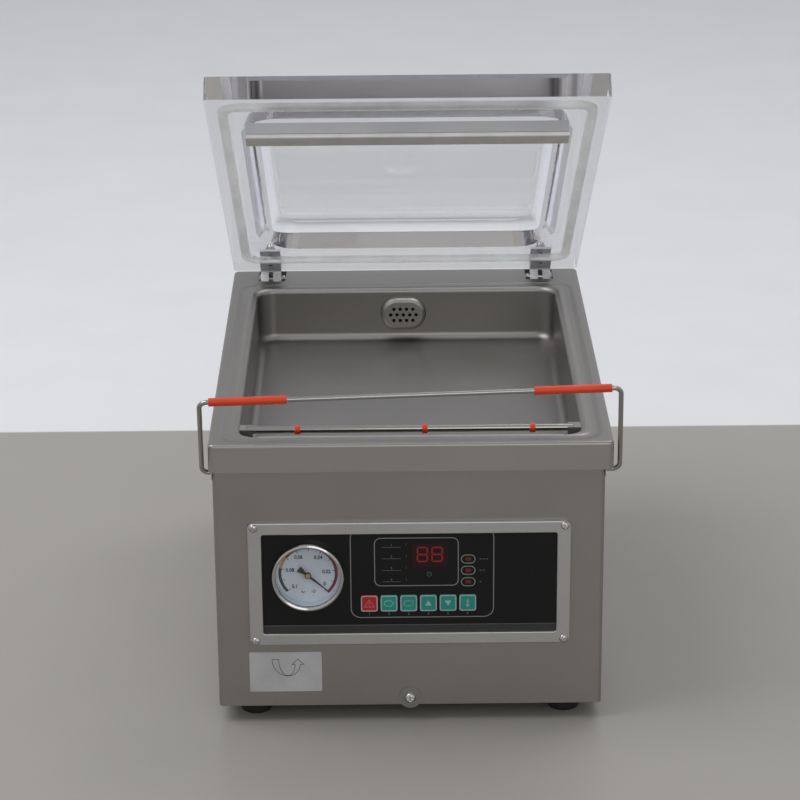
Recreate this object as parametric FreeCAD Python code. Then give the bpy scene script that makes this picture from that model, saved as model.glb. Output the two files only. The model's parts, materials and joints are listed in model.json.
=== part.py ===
# Table-top vacuum chamber sealer, built as separate pieces and drawn with the lid open.
# Millimetres, +X to the operator's right, +Y to the back, +Z up, feet standing on z = 0.
import FreeCAD, Part
import math
import os

V = FreeCAD.Vector

# ---- driving dimensions ----
DECK_W, DECK_D = 330.0, 460.0      # pressed top, over its skirt
DECK_Y = 7.5                       # deck centre, so that the whole machine is centred on the origin
SKIRT = 24.0                       # depth of the deck's skirt
SHEET = 1.5                        # deck and tray sheet
FOOT_H = 15.0
CAB_H = 237.0                      # cabinet bottom to deck top
CAB_W, CAB_D = 321.0, 451.0
CAB_X = -1.8                       # the cabinet sits a little left of the deck's centre line
CAB_SHEET = 1.2
CHAMBER_W = 280.0                  # chamber opening
CHAMBER_FRONT, CHAMBER_BACK = 21.0, 402.0    # opening's edges behind the deck's front edge
CHAMBER_DEPTH = 50.0
CHAMBER_R = 16.0                   # corner radius in plan
RIM_R, PAN_R = 5.0, 7.0            # roll-over at the chamber's rim and the radius round its floor
DRAFT = 1.0                        # how far each chamber wall leans in, top to floor
LID_W, LID_L, LID_T = 330.0, 450.0, 20.0
LID_OPEN = 35.7                    # degrees from closed to the open stop
LID_GAP = 5.8                      # lid's underside above the deck when closed
LID_SET = 10.0                     # lid's rear edge in front of the deck's rear edge
HINGE_IN, HINGE_DOWN = 14.0, 4.0   # lid hinge axis from the deck's rear top edge
HINGE_X = 129.3
LEAF_W, LEAF_T, LEAF_REACH = 19.4, 2.0, 33.0     # hinge leaf, and how far its flanges reach over the lid
GASKET_W, GASKET_H = 8.0, 5.4
BAR_Y = 63.0                       # seal bar behind the deck's front edge
BAR_TOP = 19.5                     # heater's top below the deck top at rest
BAR_LIFT = 11.5
COUNTER_ALU, COUNTER_RUBBER = 9.5, 4.0       # heights of the lid's channel and its rubber
ROD_Y, ROD_DOWN, ROD_R = 46.0, 4.6, 3.0      # bag clip rod
BAIL_LEG, BAIL_R, BAIL_X = 80.0, 2.0, 170.7
BAIL_TOP_X = 168.8                 # half span at the crossbar: the legs lean in a little
BAIL_Y, BAIL_DOWN = 12.0, 28.0     # bail pivot from the deck's front top edge
BAIL_LEFT, BAIL_RIGHT = 24.1, 14.1 # forward lean of the two legs, the wire is slightly twisted
SLEEVE_L = 62.5
PANEL_W, PANEL_H = 266.2, 110.2    # bezel, outside
WINDOW_W, WINDOW_H = 243.3, 89.5   # bezel, inside
PANEL_DOWN = 124.5                 # bezel centre below the deck top
PANEL_SHEET = 1.5
BEZEL_T = 4.0
GAUGE_X, GAUGE_DOWN, GAUGE_R = -83.8, 117.0, 30.0
DIAL_IN = 3.0                      # the dial lies this far behind the cabinet's front
KEY_X, KEY_PITCH, KEY_DOWN = -33.4, 16.3, 142.7
KEY_W, KEY_H, KEYS = 14.1, 14.6, 6
TILT_X = 105.0                     # the two housing hinges
LIFT_X = 90.0                      # lift rods under the seal bar
SCREW_X, SCREW_Z = 127.8, 51.0     # bezel screws from the bezel's centre
DIGIT_X, DIGIT_DOWN = 15.0, 100.0  # two-digit display
PORT_X, PORT_DOWN = -2.7, 24.3     # suction port from the centre line and below the deck top
INLET_X, SWITCH_X, INLET_Z = 110.0, 60.0, 80.0
HOSE_R, HOSE_DOWN = 7.0, 62.0      # suction hose and its upper end below the deck top

# ---- levels worked out from them ----
TOP = FOOT_H + CAB_H
FRONT = DECK_Y - DECK_D / 2
REAR = DECK_Y + DECK_D / 2
CAB_FRONT = FRONT + (DECK_D - CAB_D) / 2
CAB_REAR = CAB_FRONT + CAB_D
FLOOR = TOP - CHAMBER_DEPTH
HINGE = V(0, REAR - HINGE_IN, TOP - HINGE_DOWN)
TILT = V(0, CAB_REAR + 4.0, FOOT_H + 7.0)
TRAY_TOP = FOOT_H + SHEET
LID_LOW = TOP + LID_GAP
LOCK_Z = TOP - 230.3               # screw that holds the housing shut
PORT_Z = TOP - PORT_DOWN
LEAF_BOLT_IN = LID_SET + 22
PUMP_Y = FRONT + 230
HOSE_Y = FRONT + CHAMBER_BACK + 22
HOSE_TOP = TOP - HOSE_DOWN
DIGIT_Z = TOP - DIGIT_DOWN
FEET = [(CAB_X + sx * 130.5, y) for y in (CAB_FRONT + 28, CAB_REAR - 28) for sx in (-1, 1)]

nodes = {}


def add(name, *shapes):
    nodes[name] = shapes[0] if len(shapes) == 1 else Part.makeCompound(list(shapes))


# ---- shape helpers ----
def box(x0, x1, y0, y1, z0, z1):
    return Part.makeBox(x1 - x0, y1 - y0, z1 - z0, V(x0, y0, z0))


def tube_x(x0, x1, y, z, r):
    return Part.makeCylinder(r, x1 - x0, V(x0, y, z), V(1, 0, 0))


def tube_y(x, y0, y1, z, r):
    return Part.makeCylinder(r, y1 - y0, V(x, y0, z), V(0, 1, 0))


def tube_z(x, y, z0, z1, r):
    return Part.makeCylinder(r, z1 - z0, V(x, y, z0))


def round_rect(x0, x1, y0, y1, z, r):
    """Closed wire: a rectangle in plan with quarter-round corners."""
    k = r * math.sqrt(0.5)
    edges = []
    corners = [(x1 - r, y1 - r, 0), (x0 + r, y1 - r, 90), (x0 + r, y0 + r, 180), (x1 - r, y0 + r, 270)]
    ends = []
    for cx, cy, start in corners:
        a = math.radians(start)
        first = V(cx + r * math.cos(a), cy + r * math.sin(a), z)
        last = V(cx - r * math.sin(a), cy + r * math.cos(a), z)
        middle = V(cx + k * (math.cos(a) - math.sin(a)), cy + k * (math.sin(a) + math.cos(a)), z)
        ends.append((first, middle, last))
    for i, (first, middle, last) in enumerate(ends):
        edges.append(Part.Arc(first, middle, last).toShape())
        edges.append(Part.makeLine(last, ends[(i + 1) % 4][0]))
    return Part.Wire(edges)


def slab(x0, x1, y0, y1, z0, z1, r):
    return Part.Face(round_rect(x0, x1, y0, y1, z0, r)).extrude(V(0, 0, z1 - z0))


def stand(shape, x, y, z):
    """Turns a plate drawn in plan to face the operator, its plan +Z pointing to the front."""
    shape.rotate(V(0, 0, 0), V(1, 0, 0), 90)
    shape.translate(V(x, y, z))
    return shape


def front_plate(x, z, w, h, r, y_front, y_back):
    """A rounded upright plate centred on x, z."""
    plate = slab(-w / 2, w / 2, -h / 2, h / 2, 0, y_back - y_front, r)
    return stand(plate, x, y_back, z)


def edges_at(shape, test):
    return [e for e in shape.Edges if test(e.BoundBox)]


def flat_at(z):
    return lambda b: abs(b.ZMin - z) < 1e-4 and abs(b.ZMax - z) < 1e-4


def turned(profile, x, y, z, axis):
    """Solid of revolution from (radius, height) points, standing along axis at x, y, z."""
    points = [V(r, 0, h) for r, h in profile]
    solid = Part.Face(Part.makePolygon(points + points[:1])).revolve(V(0, 0, 0), V(0, 0, 1), 360)
    solid.Placement = FreeCAD.Placement(V(x, y, z), FreeCAD.Rotation(V(0, 0, 1), axis))
    return solid


def pan_head(x, y, z, r, h, axis, shank_r, shank_l):
    """Domed screw whose head sits at x, y, z and points along axis."""
    crown = [(0, h), (r * 0.55, h * 0.93), (r * 0.86, h * 0.62), (r, 0)]
    profile = [(0, -shank_l), (0, h)] + crown[1:] + [(shank_r, 0), (shank_r, -shank_l)]
    return turned(profile, x, y, z, axis)


def open_lid(shape):
    """Turns a piece drawn on the closed lid to the open stop."""
    shape.rotate(HINGE, V(1, 0, 0), -LID_OPEN)
    return shape


def bent_wire(points, bend, r):
    """Round wire along straight runs joined by tangent arcs."""
    edges = []
    start = points[0]
    for before, corner, after in zip(points, points[1:], points[2:]):
        into = (corner - before).normalize()
        out = (after - corner).normalize()
        turn = into.getAngle(out)
        cut = bend * math.tan(turn / 2)
        first = corner - into * cut
        last = corner + out * cut
        inward = (out - into).normalize()
        middle = corner + inward * (bend / math.cos(turn / 2) - bend)
        edges.append(Part.makeLine(start, first))
        edges.append(Part.Arc(first, middle, last).toShape())
        start = last
    edges.append(Part.makeLine(start, points[-1]))
    section = Part.Wire(Part.makeCircle(r, points[0], points[1] - points[0]))
    return Part.Wire(edges).makePipeShell([section], True, False)


# ---- deck, cabinet and tray ----
def chamber_pan(grow, depth):
    """The chamber's space, grown outwards by the sheet, with a rounded floor."""
    x = CHAMBER_W / 2 + grow
    y0 = FRONT + CHAMBER_FRONT - grow
    y1 = FRONT + CHAMBER_BACK + grow
    r = CHAMBER_R + grow
    rims = [round_rect(-x, x, y0, y1, TOP, r)]
    lean = DRAFT * depth / CHAMBER_DEPTH
    rims.append(round_rect(-x + lean, x - lean, y0 + lean, y1 - lean, TOP - depth, r - lean))
    pan = Part.makeLoft(rims, True, True)
    return pan.makeFillet(PAN_R + grow, edges_at(pan, flat_at(TOP - depth)))


def notch_x(side):
    """The opening for one lid hinge, narrow on its outer side."""
    outer, inner = 11.4, 14.6
    low, high = (-outer, inner) if side < 0 else (-inner, outer)
    return side * HINGE_X + low, side * HINGE_X + high


def deck_chamber():
    y0, y1 = FRONT, REAR
    skin = slab(-DECK_W / 2, DECK_W / 2, y0, y1, TOP - SKIRT, TOP, 5)
    skin = skin.makeFillet(2.5, edges_at(skin, flat_at(TOP)))
    inside = slab(-DECK_W / 2 + SHEET, DECK_W / 2 - SHEET, y0 + SHEET, y1 - SHEET,
                  TOP - SKIRT, TOP - SHEET, 3.5)
    deck = skin.cut(inside).fuse(chamber_pan(SHEET, CHAMBER_DEPTH + SHEET))
    deck = deck.cut(chamber_pan(0, CHAMBER_DEPTH)).removeSplitter()
    for z, r in ((TOP, RIM_R), (TOP - SHEET, RIM_R - SHEET)):
        rim = [e for e in edges_at(deck, flat_at(z)) if abs(e.BoundBox.Center.x) < CHAMBER_W / 2 + 3
               and abs(e.BoundBox.XMax) < CHAMBER_W / 2 + 3 and e.BoundBox.YMin > y0 + CHAMBER_FRONT - 3]
        deck = deck.makeFillet(r, rim)
    for side in (-1, 1):
        x0, x1 = notch_x(side)
        deck = deck.cut(box(x0, x1, REAR - 33.5, REAR - 3, TOP - 5, TOP + 1))
        deck = deck.cut(tube_z(side * LIFT_X, FRONT + BAR_Y, FLOOR - 5, FLOOR + 5, 5.4))
    port = front_plate(PORT_X, PORT_Z, 26, 15, 7.4, FRONT + CHAMBER_BACK - 10, FRONT + CHAMBER_BACK + 6)
    return deck.cut(port)


def cabinet_shell():
    x0, x1 = CAB_X - CAB_W / 2, CAB_X + CAB_W / 2
    t = CAB_SHEET
    outer = slab(x0, x1, CAB_FRONT, CAB_REAR, FOOT_H, TOP - SHEET, 4)
    inner = slab(x0 + t, x1 - t, CAB_FRONT + t, CAB_REAR - t, FOOT_H, TOP - SHEET - t, 2.8)
    mouth = slab(x0 + 10, x1 - 10, CAB_FRONT + 9, CAB_REAR - 9, TOP - 5, TOP, 2)
    shell = outer.cut(inner).cut(mouth)
    panel_z = TOP - PANEL_DOWN
    shell = shell.cut(box(CAB_X - 117, CAB_X + 117, CAB_FRONT - 1, CAB_FRONT + 2,
                          panel_z - 40, panel_z + 40))
    for sx in (-1, 1):
        for sz in (-1, 1):
            shell = shell.cut(tube_y(CAB_X + sx * SCREW_X, CAB_FRONT - 1, CAB_FRONT + 2,
                                     panel_z + sz * SCREW_Z, 2.1))
    shell = shell.cut(tube_y(CAB_X, CAB_FRONT - 1, CAB_FRONT + 2, LOCK_Z, 2.7))
    for side in (-1, 1):
        n0, n1 = notch_x(side)
        shell = shell.cut(box(n0 - 2.6, n1 + 2.6, REAR - 40, REAR + 1, TOP - 17.5, TOP))
        shell = shell.cut(tube_x(CAB_X + side * CAB_W / 2 - 2, CAB_X + side * CAB_W / 2 + 2,
                                 FRONT + BAIL_Y, TOP - BAIL_DOWN, 4.0))
        shell = shell.cut(box(side * TILT_X - 8, side * TILT_X + 8, CAB_REAR - 2, CAB_REAR + 1,
                              FOOT_H - 1, FOOT_H + 13))
    for x, w, h in ((INLET_X, 27.2, 20), (SWITCH_X, 19.2, 26)):
        shell = shell.cut(box(x - w / 2, x + w / 2, CAB_REAR - 2, CAB_REAR + 1,
                              INLET_Z - h / 2, INLET_Z + h / 2))
    for row in range(6):
        z = 105 + row * 11
        for column in (-1, 1):
            slot = slab(-31, 31, -2, 2, 0, 4, 1.9)
            shell = shell.cut(stand(slot, column * 40, CAB_REAR + 1, z))
    return shell


def base_tray():
    x0, x1 = CAB_X - CAB_W / 2 + CAB_SHEET + 0.7, CAB_X + CAB_W / 2 - CAB_SHEET - 0.7
    y0, y1 = CAB_FRONT + CAB_SHEET + 0.7, CAB_REAR - CAB_SHEET - 4.0
    tray = slab(x0, x1, y0, y1, FOOT_H, FOOT_H + 15, 3)
    tray = tray.cut(slab(x0 + SHEET, x1 - SHEET, y0 + SHEET, y1 - SHEET, TRAY_TOP, FOOT_H + 15, 1.5))
    tray = tray.cut(box(CAB_X - 3, CAB_X + 3, y0 - 1, y0 + 2, LOCK_Z - 3, FOOT_H + 16))
    for x, y in FEET:
        tray = tray.cut(tube_z(x, y, FOOT_H - 1, TRAY_TOP + 1, 2.1))
    for i in range(7):
        slot = slab(-1.75, 1.75, -35, 35, FOOT_H - 1, TRAY_TOP + 1, 1.7)
        slot.translate(V(60 + i * 10, PUMP_Y, 0))
        tray = tray.cut(slot)
    for side in (-1, 1):
        tray = tray.cut(box(side * TILT_X - 7.5, side * TILT_X + 7.5, y1 - 2, y1 + 1, TRAY_TOP, FOOT_H + 16))
    return tray


def foot(x, y):
    profile = [(2.1, FOOT_H), (14.5, FOOT_H), (14.2, 3), (12.8, 0), (5.5, 0), (5.5, 8), (2.1, 8)]
    return turned(profile, x, y, 0, V(0, 0, 1))


def foot_screw(x, y):
    head = pan_head(x, y, 8, 4.5, 2.8, V(0, 0, -1), 2.0, FOOT_H + 2)
    nut = hex_nut(x, y, TRAY_TOP, 3.6, 3.2)
    return head.fuse(nut.cut(tube_z(x, y, TRAY_TOP, TRAY_TOP + 4, 2.0)))


def hex_nut(x, y, z, r, h):
    points = [V(x + r * math.cos(math.radians(60 * i)), y + r * math.sin(math.radians(60 * i)), z)
              for i in range(7)]
    return Part.Face(Part.makePolygon(points)).extrude(V(0, 0, h))


# ---- lid ----
def lid_y(back):
    """Closed lid: distance behind its front edge, as y."""
    return REAR - LID_SET - LID_L + back


def dome(x, y0, y1, z0, z1, lean, r, blend):
    low = round_rect(-x, x, lid_y(y0), lid_y(y1), z0, r)
    high = round_rect(-x + lean, x - lean, lid_y(y0) + lean, lid_y(y1) - lean, z1, r - lean / 2)
    block = Part.makeLoft([low, high], True, True)
    return block.makeFillet(blend, edges_at(block, flat_at(z1)))


def lid_panel():
    panel = slab(-LID_W / 2, LID_W / 2, lid_y(0), lid_y(LID_L), LID_LOW, LID_LOW + LID_T, 3)
    panel = panel.fuse(dome(141, 67, 397, LID_LOW + LID_T - 4, LID_LOW + LID_T + 20, 8, 34, 12))
    panel = panel.cut(dome(126, 81, 384, LID_LOW - 0.5, LID_LOW + 22, 7, 24, 10))
    for side in (-1, 1):
        panel = panel.cut(tube_z(side * HINGE_X, REAR - LEAF_BOLT_IN, LID_LOW - 1, LID_LOW + LID_T + 1, 2.1))
    return open_lid(panel.removeSplitter())


def lid_gasket():
    inset, w = 14.0, GASKET_W / 2
    x = LID_W / 2 - inset
    y0, y1 = lid_y(12), REAR - 50
    outer = slab(-x - w, x + w, y0 - w, y1 + w, LID_LOW - GASKET_H, LID_LOW, 18)
    inner = slab(-x + w, x - w, y0 + w, y1 - w, LID_LOW - GASKET_H, LID_LOW, 10)
    ring = outer.cut(inner)
    ring = ring.makeFillet(2.6, edges_at(ring, flat_at(LID_LOW - GASKET_H)))
    return open_lid(ring)


def counter_channel():
    """Extruded channel under the lid that grips the rubber by its two turned-in lips."""
    y = FRONT + BAR_Y
    low = LID_LOW - COUNTER_ALU
    bar = box(-133.5, 133.5, y - 10, y + 10, low, LID_LOW)
    bar = bar.cut(box(-134, 134, y - 8, y + 8, low + 2, LID_LOW - 2))
    bar = bar.cut(box(-134, 134, y - 5.5, y + 5.5, low - 1, low + 3))
    return open_lid(bar)


def counter_rubber():
    y = FRONT + BAR_Y
    low = LID_LOW - COUNTER_ALU
    face = box(-133.5, 133.5, y - 9.4, y + 9.4, low - COUNTER_RUBBER, low)
    face = face.makeFillet(1.2, [e for e in edges_at(face, flat_at(low - COUNTER_RUBBER))
                                 if e.BoundBox.XLength > 10])
    neck = box(-133.5, 133.5, y - 5.4, y + 5.4, low, low + 2)
    root = box(-133.5, 133.5, y - 7.8, y + 7.8, low + 2, low + 5)
    return open_lid(face.fuse(neck).fuse(root).removeSplitter())


def lid_leaf(side):
    """Leaf clipped over the lid's rear edge: two flanges, a leg behind and a block round the pin."""
    x0 = side * HINGE_X - LEAF_W / 2
    x1 = x0 + LEAF_W
    back = REAR - LID_SET
    top = LID_LOW + LID_T
    front, low = HINGE.y - 4.5, HINGE.z - 5.5
    outline = [(back + LEAF_T, top + LEAF_T), (back - LEAF_REACH, top + LEAF_T), (back - LEAF_REACH, top),
               (back, top), (back, LID_LOW), (back - LEAF_REACH, LID_LOW),
               (back - LEAF_REACH, LID_LOW - LEAF_T), (front, LID_LOW - LEAF_T), (front, low),
               (back + LEAF_T, low)]
    points = [V(x0, y, z) for y, z in outline]
    leaf = Part.Face(Part.makePolygon(points + points[:1])).extrude(V(LEAF_W, 0, 0))
    for y, z, r in ((back + LEAF_T, top + LEAF_T, 1.9), (front, LID_LOW - LEAF_T, 4.0)):
        bend = [e for e in leaf.Edges if e.BoundBox.XLength > 5 and abs(e.BoundBox.Center.y - y) < 0.01
                and abs(e.BoundBox.Center.z - z) < 0.01]
        leaf = leaf.makeFillet(r, bend)
    leaf = leaf.cut(tube_x(x0 - 1, x1 + 1, HINGE.y, HINGE.z, 2.05))
    mid = side * HINGE_X
    leaf = leaf.cut(box(mid - 2.1, mid + 2.1, front - 1, back + 3, low - 1, HINGE.z + 5.5))
    return open_lid(leaf.cut(tube_z(mid, REAR - LEAF_BOLT_IN, LID_LOW - 3, top + 3, 2.1)))


def lid_bolt(x):
    """Stud up through the lid, flush in the lower flange and with an acorn nut above."""
    y = REAR - LEAF_BOLT_IN
    top = LID_LOW + LID_T + LEAF_T
    stud = tube_z(x, y, LID_LOW - LEAF_T, top, 2.1)
    nut = turned([(0, 0), (5.2, 0), (5.2, 1.0), (3.9, 1.0), (3.9, 5.4), (3.2, 7.6), (1.8, 8.8), (0, 9.2)],
                 x, y, top, V(0, 0, 1))
    flats = hex_nut(x, y, top, 4.6, 4.6)
    return open_lid(stud.fuse(nut).fuse(flats))


def lid_bracket(side):
    """U bracket under the deck whose ears carry the hinge pin."""
    y0, y1 = REAR - 22, REAR - 8
    low = TOP - 17
    ears = []
    outer, inner = (-11.6, 15.7) if side < 0 else (-15.7, 11.6)
    x0, x1 = side * HINGE_X + outer, side * HINGE_X + inner
    bracket = box(x0, x1, y0 - 16, y1, low, low + 1.5)
    for ear in (x0, x1 - 1.5):
        ears.append(box(ear, ear + 1.5, y0, y1, low, TOP - SHEET))
    for ear in ears:
        bracket = bracket.fuse(ear)
    bracket = bracket.fuse(box(x0, x1, y0 - 16, y0 - 14.5, low, TOP - SHEET))
    return bracket.cut(tube_x(x0 - 1, x1 + 1, HINGE.y, HINGE.z, 2.0))


def lid_pin(side):
    outer, inner = (-12.4, 16.6) if side < 0 else (-16.6, 12.4)
    return tube_x(side * HINGE_X + outer, side * HINGE_X + inner, HINGE.y, HINGE.z, 2.0)


def lid_spring(side):
    """Close-wound torsion spring on the pin, drawn as its ribbed outer form."""
    turns, wire = 3, 1.3
    profile = [(2.4, 0)]
    for i in range(turns):
        profile += [(2.9, i * wire), (3.7, (i + 0.5) * wire)]
    profile += [(2.9, turns * wire), (2.4, turns * wire)]
    x = side * HINGE_X + (10.1 if side < 0 else -10.1 - turns * wire)
    return turned(profile, x, HINGE.y, HINGE.z, V(1, 0, 0))


# ---- bail ----
def bail_corner(side):
    lean = math.radians(BAIL_LEFT if side < 0 else BAIL_RIGHT)
    return V(side * BAIL_TOP_X, FRONT + BAIL_Y - BAIL_LEG * math.sin(lean),
             TOP - BAIL_DOWN + BAIL_LEG * math.cos(lean))


def bail_wire():
    y, z = FRONT + BAIL_Y, TOP - BAIL_DOWN
    in_left = CAB_X - CAB_W / 2 + 4
    in_right = CAB_X + CAB_W / 2 - 4
    points = [V(in_left, y, z), V(-BAIL_X, y, z), bail_corner(-1), bail_corner(1),
              V(BAIL_X, y, z), V(in_right, y, z)]
    return bent_wire(points, 6.0, BAIL_R)


def bail_sleeve(side):
    here, there = bail_corner(side), bail_corner(-side)
    along = (there - here).normalize()
    start = here + along * 7.5
    return Part.makeCylinder(3.4, SLEEVE_L, start, along).cut(Part.makeCylinder(BAIL_R, SLEEVE_L, start, along))


def bail_bush(side):
    """Nylon bush in the cabinet side for one end of the bail."""
    wall = CAB_X + side * CAB_W / 2
    profile = [(2.06, -5), (2.06, 1.0), (6.4, 1.0), (6.4, 0), (4.0, 0), (4.0, -5)]
    return turned(profile, wall, FRONT + BAIL_Y, TOP - BAIL_DOWN, V(side, 0, 0))


# ---- sealing bar and bag clip ----
def seal_bar():
    y, z = FRONT + BAR_Y, TOP - BAR_TOP
    bar = box(-130, 130, y - 6, y + 6, z - 14, z - 2)
    return bar.cut(box(-131, 131, y - 3, y + 3, z - 11, z - 6))


def seal_bar_insulator():
    y, z = FRONT + BAR_Y, TOP - BAR_TOP
    return box(-130, 130, y - 5, y + 5, z - 2, z - 0.7)


def heating_strip():
    y, z = FRONT + BAR_Y, TOP - BAR_TOP
    return box(-127, 127, y - 2.5, y + 2.5, z - 0.7, z - 0.4)


def release_tape():
    """Glass cloth tape over the heater, folded down both sides of the bar."""
    y, z = FRONT + BAR_Y, TOP - BAR_TOP
    skin = box(-128, 128, y - 6.3, y + 6.3, z - 9, z)
    skin = skin.cut(box(-129, 129, y - 6, y + 6, z - 10, z - 2))
    skin = skin.cut(box(-129, 129, y - 5, y + 5, z - 3, z - 0.7))
    return skin.cut(box(-127, 127, y - 2.5, y + 2.5, z - 1, z - 0.4))


def lift_rod(side):
    z = TOP - BAR_TOP - 14
    return tube_z(side * LIFT_X, FRONT + BAR_Y, FLOOR - 26, z, 4.0)


def lift_cylinder(side):
    """Vacuum cylinder under the chamber floor with its guide collar."""
    x, y = side * LIFT_X, FRONT + BAR_Y
    under = FLOOR - SHEET
    can = tube_z(x, y, under - 34, under, 17).fuse(tube_z(x, y, under - 1, FLOOR + 3, 5.3))
    can = can.fuse(tube_z(x, y, FLOOR, FLOOR + 3, 8))
    can = can.cut(tube_z(x, y, FLOOR - 28, FLOOR + 4, 4.06))
    return can.fuse(tube_z(x, y, under - 40, under - 33, 3))


def clip_rod():
    z = TOP - ROD_DOWN
    return tube_x(-134.5, 134.5, FRONT + ROD_Y, z, ROD_R)


def clip_ring(x):
    z = TOP - ROD_DOWN
    ring = tube_x(x - 2.25, x + 2.25, FRONT + ROD_Y, z, 4.0)
    return ring.cut(tube_x(x - 3, x + 3, FRONT + ROD_Y, z, ROD_R))


def clip_post(side, deck):
    """Slotted block on the chamber's side wall: the rod's end lifts in its slot."""
    y, z = FRONT + ROD_Y, TOP - ROD_DOWN
    x0, x1 = sorted((side * 130.0, side * 143.0))
    block = box(x0, x1, y - 6, y + 6, z - 16, z + 2.2)
    s0, s1 = sorted((side * 129.0, side * 134.9))
    slot = box(s0, s1, y - ROD_R - 0.35, y + ROD_R + 0.35, z, z + 12)
    slot = slot.fuse(tube_x(s0, s1, y, z, ROD_R + 0.35))
    return max(block.cut(slot).cut(deck).Solids, key=lambda s: s.Volume)


# ---- control panel ----
def panel_front(y):
    return CAB_FRONT + y


def panel_bezel():
    z = TOP - PANEL_DOWN
    frame = front_plate(CAB_X, z, PANEL_W, PANEL_H, 6, panel_front(-BEZEL_T), panel_front(0))
    face = [e for e in frame.Edges if e.BoundBox.YMax < panel_front(-BEZEL_T) + 1e-4]
    frame = frame.makeFillet(1.2, face)
    frame = frame.cut(front_plate(CAB_X, z, WINDOW_W, WINDOW_H, 2, panel_front(-9), panel_front(1)))
    frame = frame.cut(front_plate(CAB_X, z, 258, 102, 3, panel_front(-PANEL_SHEET), panel_front(1)))
    inner = [e for e in frame.Edges if e.BoundBox.YMax < panel_front(-BEZEL_T) + 1e-4
             and e.BoundBox.ZMax < z + WINDOW_H / 2 + 1 and e.BoundBox.ZMin > z - WINDOW_H / 2 - 1
             and e.BoundBox.XMax < CAB_X + WINDOW_W / 2 + 1 and e.BoundBox.XMin > CAB_X - WINDOW_W / 2 - 1]
    frame = frame.makeFillet(0.8, inner)
    for x, sz in screw_spots():
        frame = frame.cut(tube_y(x, panel_front(-9), panel_front(1), sz, 2.1))
    return frame


def screw_spots():
    z = TOP - PANEL_DOWN
    return [(CAB_X + sx * SCREW_X, z + sz * SCREW_Z) for sx in (-1, 1) for sz in (-1, 1)]


def bezel_screw(x, z):
    return pan_head(x, panel_front(-BEZEL_T), z, 3.6, 2.3, V(0, -1, 0), 2.0, BEZEL_T + 5)


def key_x(i):
    return CAB_X + KEY_X + i * KEY_PITCH


def panel_plate():
    z = TOP - PANEL_DOWN
    plate = front_plate(CAB_X, z, 257.6, 101.6, 3, panel_front(-PANEL_SHEET), panel_front(0))
    plate = plate.cut(tube_y(CAB_X + GAUGE_X, panel_front(-9), panel_front(1), TOP - GAUGE_DOWN, 28.2))
    for i in range(KEYS):
        plate = plate.cut(front_plate(key_x(i), TOP - KEY_DOWN, KEY_W + 0.7, KEY_H + 0.7, 1.6,
                                      panel_front(-9), panel_front(1)))
    plate = plate.cut(front_plate(DIGIT_X, DIGIT_Z, 30.2, 22.2, 1, panel_front(-9), panel_front(1)))
    for x, sz in screw_spots():
        plate = plate.cut(tube_y(x, panel_front(-9), panel_front(1), sz, 2.1))
    return plate


def display_window():
    return front_plate(DIGIT_X, DIGIT_Z, 30, 22, 1, panel_front(-PANEL_SHEET), panel_front(0))


def key_cap(i):
    cap = front_plate(key_x(i), TOP - KEY_DOWN, KEY_W, KEY_H, 1.4, panel_front(-2.6), panel_front(1.2))
    face = [e for e in cap.Edges if e.BoundBox.YMax < panel_front(-2.6) + 1e-4]
    return cap.makeFillet(0.5, face)


def control_board():
    """Circuit board on posts behind the panel, with key switches and the digit module."""
    y = panel_front(8)
    z = TOP - PANEL_DOWN
    board = box(CAB_X - 52, CAB_X + 72, y, y + 1.6, z - 38, z + 38)
    for i in range(KEYS):
        x = key_x(i)
        board = board.fuse(box(x - 3, x + 3, y - 4, y, TOP - KEY_DOWN - 3, TOP - KEY_DOWN + 3))
        board = board.fuse(tube_y(x, panel_front(2.1), y, TOP - KEY_DOWN, 1.7))
    board = board.fuse(box(DIGIT_X - 13, DIGIT_X + 13, panel_front(0), y, DIGIT_Z - 9, DIGIT_Z + 9))
    board = board.fuse(box(CAB_X - 45, CAB_X - 23, y + 1.6, y + 17, z - 8, z + 12))
    board = board.fuse(tube_y(CAB_X + 58, y + 1.6, y + 22, z + 15, 8))
    for sx in (-46, 66):
        board = board.fuse(tube_y(CAB_X + sx, panel_front(0), y, z + 33, 2.5))
    return board


def gauge_case():
    """Flanged case of the vacuum gauge with its screwed stem behind."""
    r = GAUGE_R
    profile = [(0, -26), (r - 3.1, -26), (r - 3.1, 8), (r - 1.8, 8.6), (r - 0.6, 8.0), (r, 6.6), (r, 1.5),
               (r - 2, 1.5), (r - 2, -28), (7, -28), (7, -36), (5, -36), (5, -48), (0, -48)]
    return turned(profile, CAB_X + GAUGE_X, panel_front(0), TOP - GAUGE_DOWN, V(0, -1, 0))


def gauge_disc(y_front, thick, r=GAUGE_R - 3.1):
    return tube_y(CAB_X + GAUGE_X, panel_front(y_front), panel_front(y_front + thick), TOP - GAUGE_DOWN, r)


def gauge_needle():
    """Pointer with its flared tail, on a spindle through the dial, pointing at zero."""
    x, z = CAB_X + GAUGE_X, TOP - GAUGE_DOWN
    half = [(-9.6, 2.9), (-2.4, 0.9), (0, 1.1), (21.3, 0.25)]
    points = [V(x + dx, 0, z + dz) for dx, dz in half] + [V(x + dx, 0, z - dz) for dx, dz in half[::-1]]
    blade = Part.Face(Part.makePolygon(points + points[:1]))
    blade.translate(V(0, panel_front(-2.1), 0))
    needle = blade.extrude(V(0, 0.6, 0))
    needle = needle.fuse(tube_y(x, panel_front(-2.9), panel_front(-0.9), z, 2.6))
    needle = needle.fuse(tube_y(x, panel_front(-0.9), panel_front(6.0), z, 0.8))
    needle.rotate(V(x, 0, z), V(0, 1, 0), 40)
    return needle


def lock_screw():
    return pan_head(CAB_X, CAB_FRONT - 1.2, LOCK_Z, 4.75, 3.6, V(0, -1, 0), 2.5, 9)


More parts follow.
